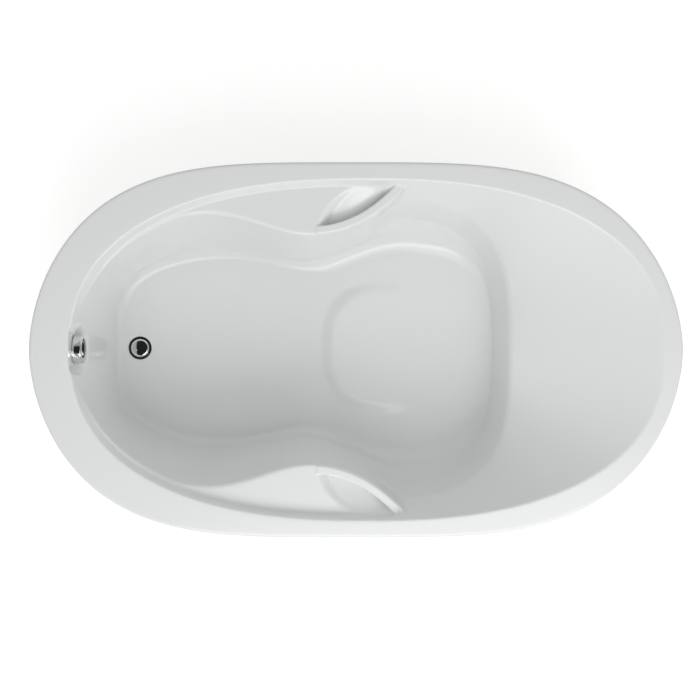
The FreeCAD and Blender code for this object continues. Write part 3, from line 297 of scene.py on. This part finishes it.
class Ribs:
    """Half the ribs, from the head end to the foot end: start on the middle line, way and station."""

    def __init__(self, counts):
        head = np.linspace(0.0, 1.0, counts[0], endpoint=False)
        side = np.concatenate([np.linspace(0.0, 0.5, counts[1], endpoint=False),
                               np.linspace(0.5, 1.0, counts[2], endpoint=False)])
        foot = 1.0 - np.linspace(1.0, 0.0, counts[3] + 1) ** FAN_EASE
        self.station = QUARTER * np.concatenate([head, 1.0 + side, 2.0 + foot])
        self.side = (self.station >= QUARTER) & (self.station < 2 * QUARTER)
        at_head = self.station < QUARTER
        parallel = FAN_HEAD + (FAN_FOOT - FAN_HEAD) * (self.station - QUARTER) / QUARTER
        self.start = np.where(self.side, parallel, np.where(at_head, FAN_HEAD, FAN_FOOT))
        fan = np.where(at_head, self.station, self.station - QUARTER)
        turn = np.radians(np.where(self.side, QUARTER, fan))
        self.dx, self.dy = np.cos(turn), np.sin(turn)

    def reach(self, edge):
        """How far each rib goes to meet a plan curve, by halving."""
        low = np.zeros_like(self.start)
        high = np.full_like(self.start, 2 * RIM_HALF_LENGTH)
        for _ in range(HALVINGS):
            middle = (low + high) / 2
            inside = middle * self.dy < edge(self.start + middle * self.dx)
            low, high = np.where(inside, middle, low), np.where(inside, high, middle)
        return (low + high) / 2

    def place(self, section):
        """(ribs, rows, 2) of radius and height to (ribs, rows, 3)."""
        radius, z = section[..., 0], section[..., 1]
        x = self.start[:, None] + radius * self.dx[:, None]
        return np.stack([x, radius * self.dy[:, None], z], axis=-1)


def mix(a, b, share):
    """The point that lies a share of the way from a to b."""
    return a + (b - a) * (share[..., None] if np.ndim(share) else share)


def toward(a, b, distance):
    """The point a distance from a towards b, at most a set share of the way."""
    length = np.linalg.norm(b - a, axis=-1)
    return mix(a, b, np.minimum(distance / length, CORNER_MOST))


def fade(station, span):
    """0 up to the first station of a span, 1 past its end."""
    first, run_length = span
    return smooth((station - first) / run_length)


def section_corners(ribs):
    """The corners of the shell's section on each rib, from the foot of the lip in and down to the floor.

    On the long sides and round the foot end the mouth, the step and the shelf's edge lead to a straight
    wall, round the head end the mouth, the knee and the riser. Between them one fades into the other."""
    def pair(radius, z):
        return np.stack([radius, np.broadcast_to(z, radius.shape)], axis=-1)

    rim = ribs.reach(rim_edge)
    mouth = pair(ribs.reach(mouth_edge), RIM_TOP)
    floor_radius = ribs.reach(floor_edge)
    floor_z = floor_height(ribs.start + floor_radius * ribs.dx, floor_radius * ribs.dy)
    floor = pair(floor_radius, floor_z)
    climb = fade(ribs.station, KNEE_CLIMB)
    knee_z = RIM_TOP - KNEE_DROP + (KNEE_DROP - KNEE_SIDE_DROP) * climb
    back_knee = pair(ribs.reach(knee_edge), knee_z)
    riser_z = RIM_TOP - RISER_DROP + (RISER_DROP - RISER_SIDE_DROP) * climb
    back_riser = pair(ribs.reach(riser_edge), riser_z)
    backrest = 1.0 - fade(ribs.station, BACK_FADE)
    step = pair(ribs.reach(step_edge), SHELF_Z)
    plain = mix(mouth, floor, SHELF_DROP / (RIM_TOP - floor[:, 1]))
    foot_end = fade(ribs.station, LEDGE_FADE)
    outer = mix(step, plain, foot_end)
    flat = pair(ribs.reach(shelf_edge), SHELF_Z - SHELF_FALL)
    full = np.where(ribs.station > SHELF_STATION, LEDGE_FULL, SHELF_FULL)
    ledge = smooth((step[:, 0] - flat[:, 0]) / full) * (1.0 - foot_end)
    inner = mix(toward(outer, floor, PLAIN_EDGE), flat, ledge)
    outer = mix(outer, mix(mouth, back_knee, BACK_OUTER_SHARE), backrest)
    inner = mix(inner, mix(mouth, back_knee, BACK_INNER_SHARE), backrest)
    plain_wall = fade(ribs.station, WALL_FADE)
    knee = mix(back_knee, mix(inner, floor, 1 / 3), plain_wall)
    riser = mix(back_riser, mix(inner, floor, 2 / 3), plain_wall)
    return [pair(rim, RIM_TOP - LIP_DEPTH), pair(rim, RIM_TOP), mouth, outer, inner, knee, riser, floor]


def offset_corners(corners, distance):
    """The section moved below and outside by the wall, with mitred corners."""
    points = np.stack(corners, axis=1)
    way = np.diff(points, axis=1)
    way = way / np.linalg.norm(way, axis=-1, keepdims=True)
    normal = np.stack([-way[..., 1], way[..., 0]], axis=-1)
    before = np.concatenate([normal[:, :1], normal], axis=1)
    after = np.concatenate([normal, np.broadcast_to((0.0, -1.0), normal[:, :1].shape)], axis=1)
    mitre = distance / (1.0 + np.sum(before * after, axis=-1))
    moved = points + (before + after) * mitre[..., None]
    moved[:, 0, 1] = points[:, 0, 1]
    return [moved[:, i] for i in range(points.shape[1])]


def shares(count):
    """Even shares from 0 up to 1, the last one left to the next stretch."""
    return np.linspace(0.0, 1.0, count, endpoint=False)


def parabola(a, b, c, t):
    """Rows at the shares t on the parabola with control points a, b, c."""
    t = t[None, :, None]
    return (1 - t) ** 2 * a[:, None] + 2 * t * (1 - t) * b[:, None] + t ** 2 * c[:, None]


def run(a, b, count, ease=1.0):
    """Rows on the straight line from a to b, closer together near a where ease is above 1."""
    t = (shares(count) ** ease)[None, :, None]
    return a[:, None] + (b - a)[:, None] * t


def bar_lean(ribs):
    """Cosine of the bar's direction in plan, so that it keeps its width where it turns outwards."""
    x = ribs.start[:, None]
    slope = (shelf_edge(x + NUDGE) - shelf_edge(x - NUDGE)) / (2 * NUDGE)
    return np.cos(np.arctan(slope))


def shelf_rows(ribs, start, end, count):
    """Rows across the shelf from its step to its basin edge, close together at the bar's back wall."""
    width = np.maximum(np.linalg.norm(end - start, axis=-1), TINY)[:, None]
    middle = np.clip(1.0 - (GRIP_BAR + GRIP_WALL / 2) / bar_lean(ribs) / width, *WALL_PLACE)
    half = np.minimum(GRIP_WALL / width, WALL_MOST)
    t = shares(count)[None, :]
    before = t / BEFORE_WALL * (middle - half)
    there = middle - half + (t - BEFORE_WALL) / (PAST_WALL - BEFORE_WALL) * 2 * half
    after = middle + half + (t - PAST_WALL) / (1.0 - PAST_WALL) * (1.0 - middle - half)
    share = np.where(t < BEFORE_WALL, before, np.where(t < PAST_WALL, there, after))
    return start[:, None] + (end - start)[:, None] * share[..., None]


def grip_shape(ribs, radius, inner, outer, wall=0.0):
    """Height of the grip bar above the shelf and depth of the finger scoop, at each radius on the ribs.

    inward is the distance from the shelf's basin edge and width the shelf's whole width, both along y;
    across is the distance from the bar's front edge. The scoop is deepest at the bar's back wall and
    rises to the step. With a wall it is the under side of the same scoop. Both are zero off the sides."""
    x = ribs.start[:, None]
    inward = radius - inner[:, None, 0]
    width = np.maximum(outer[:, None, 0] - inner[:, None, 0], LEAST_WIDTH)
    across = inward * bar_lean(ribs)
    share = np.clip(inward / width, 0.0, 1.0)
    start = SHELF_WAIST + GRIP_SKEW * share ** GRIP_SKEW_SWEEP
    foot = smooth((x - start) / GRIP_BEVEL)
    head = smooth((GRIP_END - x) / GRIP_END_RUN)
    back = smooth((across - GRIP_BAR + wall) / GRIP_WALL)
    deepest = np.clip((GRIP_BAR + GRIP_WALL) / width, 0.0, DEEPEST_SHARE)
    rise = np.clip((1.0 - share) / (1.0 - deepest), 0.0, 1.0)
    scoop = GRIP_DEPTH * foot * head * back * rise
    ends = smooth((x - SHELF_WAIST) / BAR_EDGE) * smooth((BAR_END - x) / BAR_EDGE)
    bar = smooth(across / BAR_EDGE) * (1.0 - back)
    side = ribs.side[:, None]
    return BAR_RISE * bar * ends * side, scoop * side


def row_count(rows):
    """How many rows of points a list of stretches has."""
    return sum(part.shape[1] for part in rows)


def bath_points(ribs):
    """Upper side of the moulding on every rib: straight stretches and rounded corners, then the floor."""
    corners = section_corners(ribs)
    sizes = list(CORNER_SIZES)
    plain_size = sizes[SHELF_EDGE_CORNER]
    edge_fade = fade(ribs.station, SHELF_EDGE_FADE)
    sizes[SHELF_EDGE_CORNER] = plain_size + (SHELF_EDGE_SIZE - plain_size) * edge_fade

    rows = []
    here = corners[0]
    for i, size in enumerate(sizes):
        before, point, after = corners[i:i + 3]
        meets = toward(point, before, size)
        leaves = toward(point, after, size)
        if i == SHELF_EDGE_CORNER:
            rows.append(shelf_rows(ribs, here, meets, SKIN_ROWS[i]))
        else:
            rows.append(run(here, meets, SKIN_ROWS[i]))
        rows.append(parabola(meets, point, leaves, shares(CORNER_ROWS[i])))
        here = leaves
    fillet_size = FLOOR_FILLET + (FOOT_FILLET - FLOOR_FILLET) * fade(ribs.station, FILLET_FADE)
    riser, floor = corners[-2:]
    wall_foot = toward(floor, riser, fillet_size)
    rows.append(run(here, wall_foot, SKIN_ROWS[-1]))
    wall = np.concatenate(rows, axis=1)
    points = ribs.place(wall)

    # The grip is raised and sunk on the shelf and on the rounded corners at its two edges
    shelf = 2 * SHELF_EDGE_CORNER
    first = row_count(rows[:shelf - 1])
    on_shelf = slice(first, first + row_count(rows[shelf - 1:shelf + 2]))
    outer, inner = corners[SHELF_EDGE_CORNER:SHELF_EDGE_CORNER + 2]
    bar, scoop = grip_shape(ribs, wall[:, on_shelf, 0], inner, outer)
    points[:, on_shelf, 2] += bar - scoop

    foot = ribs.place(floor[:, None])[:, 0]
    way = foot[:, :2] - PAD_CENTRE
    edge = PAD_CENTRE + way * (1.0 - fillet_size / np.linalg.norm(way, axis=1))[:, None]
    edge = np.column_stack([edge, floor_height(edge[:, 0], edge[:, 1])])
    fillet = parabola(ribs.place(wall_foot[:, None])[:, 0], foot, edge, shares(FILLET_ROWS))
    return np.concatenate([points, fillet, floor_rows(edge, floor_height, *SKIN_FLOOR_ROWS)], axis=1)


def floor_rows(edge, height, run_count, pad_count):
    """Rows from the edge of the floor in to the seat pad, over its riser and on towards its middle."""
    turn = np.arctan2(edge[:, 1], edge[:, 0] - PAD_MIDDLE)

    def loop(share):
        radius = pad_radius(turn) * share
        return PAD_CENTRE + np.stack([radius * np.cos(turn), radius * np.sin(turn)], axis=-1)

    plan = run(edge[:, :2], loop(1.0 + PAD_RISER), run_count, FLOOR_EASE)
    pad_shares = np.concatenate([np.linspace(1.0 + PAD_RISER, PAD_TOP_SHARE, pad_count),
                                 np.linspace(*PAD_INNER_SHARES, PAD_INNER_ROWS)])
    plan = np.concatenate([plan, np.stack([loop(share) for share in pad_shares], axis=1)], axis=1)
    return np.concatenate([plan, height(plan[..., 0], plan[..., 1])[..., None]], axis=-1)


def back_points(ribs):
    """Under side on every rib: the lip's foot, then straight stretches a wall below the upper side."""
    corners = section_corners(ribs)
    stops = [corners[0], *offset_corners(corners, SHELL_WALL)]
    rows = []
    for i, count in enumerate(BACK_ROWS):
        if i == BACK_SHELF:
            rows.append(shelf_rows(ribs, stops[i], stops[i + 1], count))
        else:
            rows.append(run(stops[i], stops[i + 1], count))
    wall = np.concatenate(rows, axis=1)
    points = ribs.place(wall)
    first = row_count(rows[:BACK_SHELF])
    on_shelf = slice(first, first + BACK_ROWS[BACK_SHELF])
    outer, inner = corners[SHELF_EDGE_CORNER:SHELF_EDGE_CORNER + 2]
    scoop = grip_shape(ribs, wall[:, on_shelf, 0], inner, outer, SHELL_WALL)[1]
    points[:, on_shelf, 2] -= scoop
    foot = ribs.place(stops[-1][:, None])[:, 0]
    return np.concatenate([points, floor_rows(foot, under_height, *BACK_FLOOR_ROWS)], axis=1)


def in_niche(points, half):
    """1 inside the flat niche round the overflow, 0 outside, with a soft edge."""
    y, z = points[..., 1], points[..., 2]
    beside = np.where(z > OVERFLOW_Z, np.abs(y), np.hypot(y, z - OVERFLOW_Z))
    at_foot_wall = points[..., 0] < NICHE_X + NICHE_REACH
    return smooth((half - beside) / NICHE_SOFTNESS + 0.5) * at_foot_wall


def open_hole(points, centre, nearby):
    """Moves what is nearby and inside a hole out to its edge, in the two coordinates given, in place.

    Returns which points were inside the hole."""
    out = points - centre
    away = np.linalg.norm(out, axis=-1)
    inside = nearby & (away < HOLE_RADIUS)
    to_edge = HOLE_RADIUS / np.maximum(away, TINY)
    points += np.where(inside, to_edge - 1.0, 0.0)[..., None] * out
    return inside


def cut_openings(points, niche_x, niche_half, seat_radius, seat_depth):
    """Flattens the niche behind the knob, sinks the drain's seat and opens the holes of both, in place.

    Returns which points were inside a hole, so that the faces between them can be left out."""
    share = in_niche(points, niche_half)
    points[..., 0] -= np.maximum(points[..., 0] - niche_x, 0.0) * share
    away = np.linalg.norm(points[..., :2] - (DRAIN_X, 0.0), axis=-1)
    on_floor = points[..., 2] < FLOOR_TOP + SEAT_RISE
    points[..., 2] -= seat_depth * smooth((seat_radius - away) / RECESS_SOFTNESS + 0.5) * on_floor
    in_drain = open_hole(points[..., :2], (DRAIN_X, 0.0), on_floor)
    at_foot_wall = points[..., 0] < NICHE_X + NICHE_REACH
    in_overflow = open_hole(points[..., 1:], (0.0, OVERFLOW_Z), at_foot_wall)
    return in_drain | in_overflow


def mesh_object(name, vertices, faces):
    """A smooth-shaded object at the origin from its vertices and faces."""
    mesh = bpy.data.meshes.new(name)
    mesh.from_pydata(vertices.tolist(), [], faces)
    mesh.shade_smooth()
    obj = bpy.data.objects.new(name, mesh)
    bpy.context.collection.objects.link(obj)
    return obj


def ring_quads(around, rows):
    """Numbers of the points on each rib and on the following one, and the quads between them."""
    index = np.arange(around * rows).reshape(around, rows)
    following = np.roll(index, -1, axis=0)
    quads = np.stack([index[:, :-1], index[:, 1:], following[:, 1:], following[:, :-1]], axis=-1)
    return index, following, quads.reshape(-1, 4)


def ring_mesh(name, half_points, holes, end_height, upper):
    """A mesh from rows of points on half the ribs, mirrored in y, joined all round, closed in the middle.

    Faces look up from the first row to the last where upper is true, down where it is false."""
    points = np.concatenate([half_points, half_points[-2:0:-1] * (1.0, -1.0, 1.0)])
    holes = np.concatenate([holes, holes[-2:0:-1]]).reshape(-1)
    around = len(points)
    index, following, quads = ring_quads(*points.shape[:2])
    quads = quads[~holes[quads].all(axis=1)]
    vertices = np.vstack([points.reshape(-1, 3), [PAD_MIDDLE, 0.0, end_height]])
    centre = np.full(around, len(vertices) - 1)
    fan = np.stack([index[:, -1], centre, following[:, -1]], axis=-1)
    order = 1 if upper else -1
    return mesh_object(name, vertices, quads[:, ::order].tolist() + fan[:, ::order].tolist())


# The moulding: its upper skin and its under side

skin_points = bath_points(Ribs(SKIN_RIBS))
skin_holes = cut_openings(skin_points, NICHE_X, NICHE_HALF_WIDTH, RECESS_RADIUS, RECESS_DEPTH)
skin = ring_mesh("bath_skin", skin_points, skin_holes, FLOOR_TOP + SEAT_RISE, True)
under_points = back_points(Ribs(BACK_RIBS))
under_holes = cut_openings(under_points, NICHE_X - SHELL_WALL, NICHE_HALF_WIDTH + SHELL_WALL,
                           BOSS_RADIUS, BOSS_DEPTH)
back = ring_mesh("bath_back", under_points, under_holes, FLOOR_TOP - SHELL_WALL + SEAT_RISE, False)
for piece in (skin, back):
    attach(piece, "bath")
    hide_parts("tub_shell")


# Turned chrome pieces: their ends come from the CAD nodes that they stand for

KNOB_LOW, KNOB_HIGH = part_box("overflow_knob")
KNOB_RADIUS = (KNOB_HIGH[1] - KNOB_LOW[1]) / 2
KNOB_LENGTH = KNOB_HIGH[0] - KNOB_LOW[0]
KNOB_CENTRE = (KNOB_LOW[0], 0.0, (KNOB_LOW[2] + KNOB_HIGH[2]) / 2)
KNOB_TAPER = 0.001
KNOB_NOSE = KNOB_RADIUS - KNOB_TAPER
KNOB_BEVEL = 0.004
KNOB_WALL = 0.003
KNOB_FACE = 0.004
KNOB_INSIDE = KNOB_LENGTH - KNOB_FACE
KNOB_HUB = 0.009
KNOB_HUB_INSET = 0.0045
KNOB_BORE = 0.00502

STOPPER_LOW, STOPPER_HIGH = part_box("stopper_cap")
STOPPER_RADIUS = (STOPPER_HIGH[0] - STOPPER_LOW[0]) / 2
STOPPER_HEIGHT = STOPPER_HIGH[2] - STOPPER_LOW[2]
STOPPER_CENTRE = (DRAIN_X, 0.0, STOPPER_LOW[2])
STOPPER_FACE = 0.0245
STOPPER_FACE_DROP = 0.0012
STOPPER_FACE_ROWS = 12
STOPPER_EDGE = 0.0020

CHROME_EDGE = 0.0012
EDGE_POINTS = 6
TURN_STEPS = 128


def rounded(points):
    """A polyline whose inner corners become parabolas that begin and end a chrome edge from the corner."""
    points = np.array(points, float)
    first = toward(points[1:-1], points[:-2], CHROME_EDGE)
    last = toward(points[1:-1], points[2:], CHROME_EDGE)
    curves = parabola(first, points[1:-1], last, np.linspace(0.0, 1.0, EDGE_POINTS))
    return np.vstack([points[:1], curves.reshape(-1, 2), points[-1:]])


def turned(name, profile, centre, along_x):
    """A profile of radius and distance along the axis turned round it; its two ends lie on the axis."""
    turn = np.linspace(0.0, 2 * np.pi, TURN_STEPS, endpoint=False)[:, None]
    radius = profile[1:-1, 0]
    along = np.broadcast_to(profile[1:-1, 1], (TURN_STEPS, len(profile) - 2))
    across = (radius * np.cos(turn), radius * np.sin(turn))
    grid = np.stack([along, *across] if along_x else [*across, along], axis=-1)
    axis = np.array([1.0, 0.0, 0.0] if along_x else [0.0, 0.0, 1.0])
    vertices = np.vstack([grid.reshape(-1, 3), axis * profile[0, 1], axis * profile[-1, 1]]) + centre
    index, following, quads = ring_quads(*grid.shape[:2])
    start = np.full(TURN_STEPS, len(vertices) - 2)
    end = np.full(TURN_STEPS, len(vertices) - 1)
    caps = np.vstack([np.stack([start, index[:, 0], following[:, 0]], axis=-1),
                      np.stack([following[:, -1], index[:, -1], end], axis=-1)])
    return mesh_object(name, vertices, quads.tolist() + caps.tolist())


knob_profile = rounded([
    (0.0, KNOB_LENGTH),
    (KNOB_NOSE - KNOB_BEVEL, KNOB_LENGTH),
    (KNOB_NOSE, KNOB_LENGTH - KNOB_BEVEL),
    (KNOB_RADIUS, 0.0),
    (KNOB_RADIUS - KNOB_WALL, 0.0),
    (KNOB_NOSE - KNOB_WALL, KNOB_INSIDE),
    (KNOB_HUB, KNOB_INSIDE),
    (KNOB_HUB, KNOB_HUB_INSET),
    (KNOB_BORE, KNOB_HUB_INSET),
    (KNOB_BORE, KNOB_INSIDE),
    (0.0, KNOB_INSIDE),
])
knob = turned("knob_cap", knob_profile, KNOB_CENTRE, True)
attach(knob, "knob")
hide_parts("overflow_knob")

face = np.linspace(0.0, STOPPER_FACE, STOPPER_FACE_ROWS)
face = np.column_stack([face, STOPPER_HEIGHT - STOPPER_FACE_DROP * (face / STOPPER_FACE) ** 2])
rim = rounded([face[-1], (STOPPER_RADIUS, STOPPER_EDGE), (STOPPER_RADIUS, 0.0), (0.0, 0.0)])
stopper = turned("stopper_dome", np.vstack([face[:-1], rim]), STOPPER_CENTRE, False)
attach(stopper, "stopper")
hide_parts("stopper_cap")


# Materials: colour, roughness, whether it is metal, grain of its noise and spread of its colour

ROUGHNESS_SPREAD = 0.15
FINISHES = {
    "white_acrylic": ((0.795, 0.81, 0.803), 0.18, False, 6.0, 0.006),
    "fibreglass_back": ((0.62, 0.60, 0.54), 0.55, False, 35.0, 0.12),
    "plywood": ((0.50, 0.34, 0.19), 0.6, False, 60.0, 0.15),
    "galvanised_steel": ((0.55, 0.57, 0.58), 0.38, True, 90.0, 0.12),
    "zinc_steel": ((0.66, 0.66, 0.62), 0.3, True, 200.0, 0.04),
    "black_nylon": ((0.03, 0.03, 0.03), 0.45, False, 300.0, 0.2),
    "chrome_trim": ((0.80, 0.81, 0.82), 0.06, True, 120.0, 0.02),
    "black_rubber": ((0.025, 0.025, 0.025), 0.7, False, 250.0, 0.2),
    "waste_plastic": ((0.72, 0.72, 0.69), 0.35, False, 80.0, 0.04),
    "brass_parts": ((0.60, 0.42, 0.16), 0.28, True, 150.0, 0.04),
    "cable_sleeve": ((0.04, 0.04, 0.045), 0.5, False, 300.0, 0.2),
    "floor_white": ((0.80, 0.80, 0.80), 0.9, False, 2.0, 0.002),
}


def material(name):
    """A principled surface whose colour and roughness vary a little with a fine noise."""
    colour, roughness, metal, grain, spread = FINISHES[name]
    made = bpy.data.materials.new(name)
    made.use_nodes = True
    nodes, links = made.node_tree.nodes, made.node_tree.links
    shader = nodes["Principled BSDF"]
    place = nodes.new("ShaderNodeTexCoord")
    noise = nodes.new("ShaderNodeTexNoise")
    noise.inputs["Scale"].default_value = grain
    links.new(place.outputs["Object"], noise.inputs["Vector"])
    tint = nodes.new("ShaderNodeMix")
    tint.data_type = "RGBA"
    tint.inputs["A"].default_value = (*[c * (1.0 - spread) for c in colour], 1.0)
    tint.inputs["B"].default_value = (*[min(c * (1.0 + spread), 1.0) for c in colour], 1.0)
    links.new(noise.outputs["Fac"], tint.inputs["Factor"])
    links.new(tint.outputs["Result"], shader.inputs["Base Color"])
    sheen = nodes.new("ShaderNodeMapRange")
    sheen.inputs["To Min"].default_value = roughness * (1.0 - ROUGHNESS_SPREAD)
    sheen.inputs["To Max"].default_value = roughness * (1.0 + ROUGHNESS_SPREAD)
    links.new(noise.outputs["Fac"], sheen.inputs["Value"])
    links.new(sheen.outputs["Result"], shader.inputs["Roughness"])
    shader.inputs["Metallic"].default_value = 1.0 if metal else 0.0
    return made


MATERIALS = {name: material(name) for name in FINISHES}
for piece, finish in ((skin, "white_acrylic"), (back, "fibreglass_back"),
                      (knob, "chrome_trim"), (stopper, "chrome_trim")):
    piece.data.materials.append(MATERIALS[finish])
for part in frame["record"]["subparts"]:
    node = frame["nodes"][part["node"]]
    node.data.materials.clear()
    node.data.materials.append(MATERIALS[part["material_slot"]])


# Floor, light and camera

FLOOR_HALF = 6.0
FLOOR_Z = -0.001
FLOOR_GLOW = 0.53

ROOM_STRENGTH = 0.585
CEILING_EDGE = 0.78
CEILING_DARK = 0.92
REFLECTED_WALL = 0.45
REFLECTED_CEILING = 0.02

VIEW_HEIGHT = 3.5
VIEW_SHIFT = 0.05
VIEW_X = -0.0167
PICTURE_WIDTH = 1.9516
SENSOR = 36.0


def floor_plane():
    """A pale floor that glows a little to the camera, so that it is white round the object's shadow."""
    made = MATERIALS["floor_white"]
    nodes, links = made.node_tree.nodes, made.node_tree.links
    glow = nodes.new("ShaderNodeEmission")
    glow.inputs["Strength"].default_value = FLOOR_GLOW
    both = nodes.new("ShaderNodeAddShader")
    links.new(nodes["Principled BSDF"].outputs["BSDF"], both.inputs[0])
    links.new(glow.outputs["Emission"], both.inputs[1])
    seen = nodes.new("ShaderNodeLightPath")
    choice = nodes.new("ShaderNodeMixShader")
    links.new(seen.outputs["Is Camera Ray"], choice.inputs["Fac"])
    links.new(nodes["Principled BSDF"].outputs["BSDF"], choice.inputs[1])
    links.new(both.outputs["Shader"], choice.inputs[2])
    links.new(choice.outputs["Shader"], nodes["Material Output"].inputs["Surface"])
    sides = ((-1, -1), (1, -1), (1, 1), (-1, 1))
    vertices = np.array([(x * FLOOR_HALF, y * FLOOR_HALF, FLOOR_Z) for x, y in sides])
    obj = mesh_object("floor", vertices, [(0, 1, 2, 3)])
    obj.data.materials.append(made)
    return obj


def area_light(name, place, aim, size, power):
    """A rectangular light that looks from its place at its aim."""
    lamp = bpy.data.lights.new(name, "AREA")
    lamp.shape = "RECTANGLE"
    lamp.size, lamp.size_y = size
    lamp.energy = power
    obj = bpy.data.objects.new(name, lamp)
    bpy.context.collection.objects.link(obj)
    obj.location = place
    way = np.array(aim, float) - np.array(place, float)
    tilt = math.acos(-way[2] / np.linalg.norm(way))
    heading = math.atan2(way[1], way[0]) - math.pi / 2
    obj.rotation_euler = (tilt, 0.0, heading)


def studio():
    """An even white room; in reflections it is grey with a dark ceiling."""
    world = bpy.data.worlds.new("studio")
    world.use_nodes = True
    nodes, links = world.node_tree.nodes, world.node_tree.links
    room = nodes["Background"]
    room.inputs["Color"].default_value = (1.0, 1.0, 1.0, 1.0)
    room.inputs["Strength"].default_value = ROOM_STRENGTH
    way = nodes.new("ShaderNodeTexCoord")
    parts = nodes.new("ShaderNodeSeparateXYZ")
    links.new(way.outputs["Generated"], parts.inputs["Vector"])
    shade = nodes.new("ShaderNodeMapRange")
    shade.interpolation_type = "SMOOTHSTEP"
    shade.inputs["From Min"].default_value = CEILING_EDGE
    shade.inputs["From Max"].default_value = CEILING_DARK
    shade.inputs["To Min"].default_value = REFLECTED_WALL
    shade.inputs["To Max"].default_value = REFLECTED_CEILING
    links.new(parts.outputs["Z"], shade.inputs["Value"])
    mirrored = nodes.new("ShaderNodeBackground")
    links.new(shade.outputs["Result"], mirrored.inputs["Strength"])
    path = nodes.new("ShaderNodeLightPath")
    choice = nodes.new("ShaderNodeMixShader")
    links.new(path.outputs["Is Glossy Ray"], choice.inputs["Fac"])
    links.new(room.outputs["Background"], choice.inputs[1])
    links.new(mirrored.outputs["Background"], choice.inputs[2])
    links.new(choice.outputs["Shader"], nodes["World Output"].inputs["Surface"])
    return world


floor_plane()
area_light("key_light", place=(0.55, -2.4, 2.85), aim=(0.1, 0.0, 0.4), size=(3.2, 1.5), power=50.0)
area_light("high_light", place=(0.45, -1.3, 4.0), aim=(0.0, 0.0, 0.4), size=(2.4, 1.2), power=15.0)
bpy.context.scene.world = studio()

camera = bpy.data.cameras.new("camera")
camera.sensor_width = SENSOR
camera.lens = SENSOR * VIEW_HEIGHT / PICTURE_WIDTH
camera.shift_y = -VIEW_SHIFT / PICTURE_WIDTH
camera_object = bpy.data.objects.new("camera", camera)
bpy.context.collection.objects.link(camera_object)
camera_object.location = (VIEW_X, VIEW_SHIFT, RIM_TOP + VIEW_HEIGHT)
bpy.context.scene.camera = camera_object
bpy.context.scene.view_settings.view_transform = "Standard"
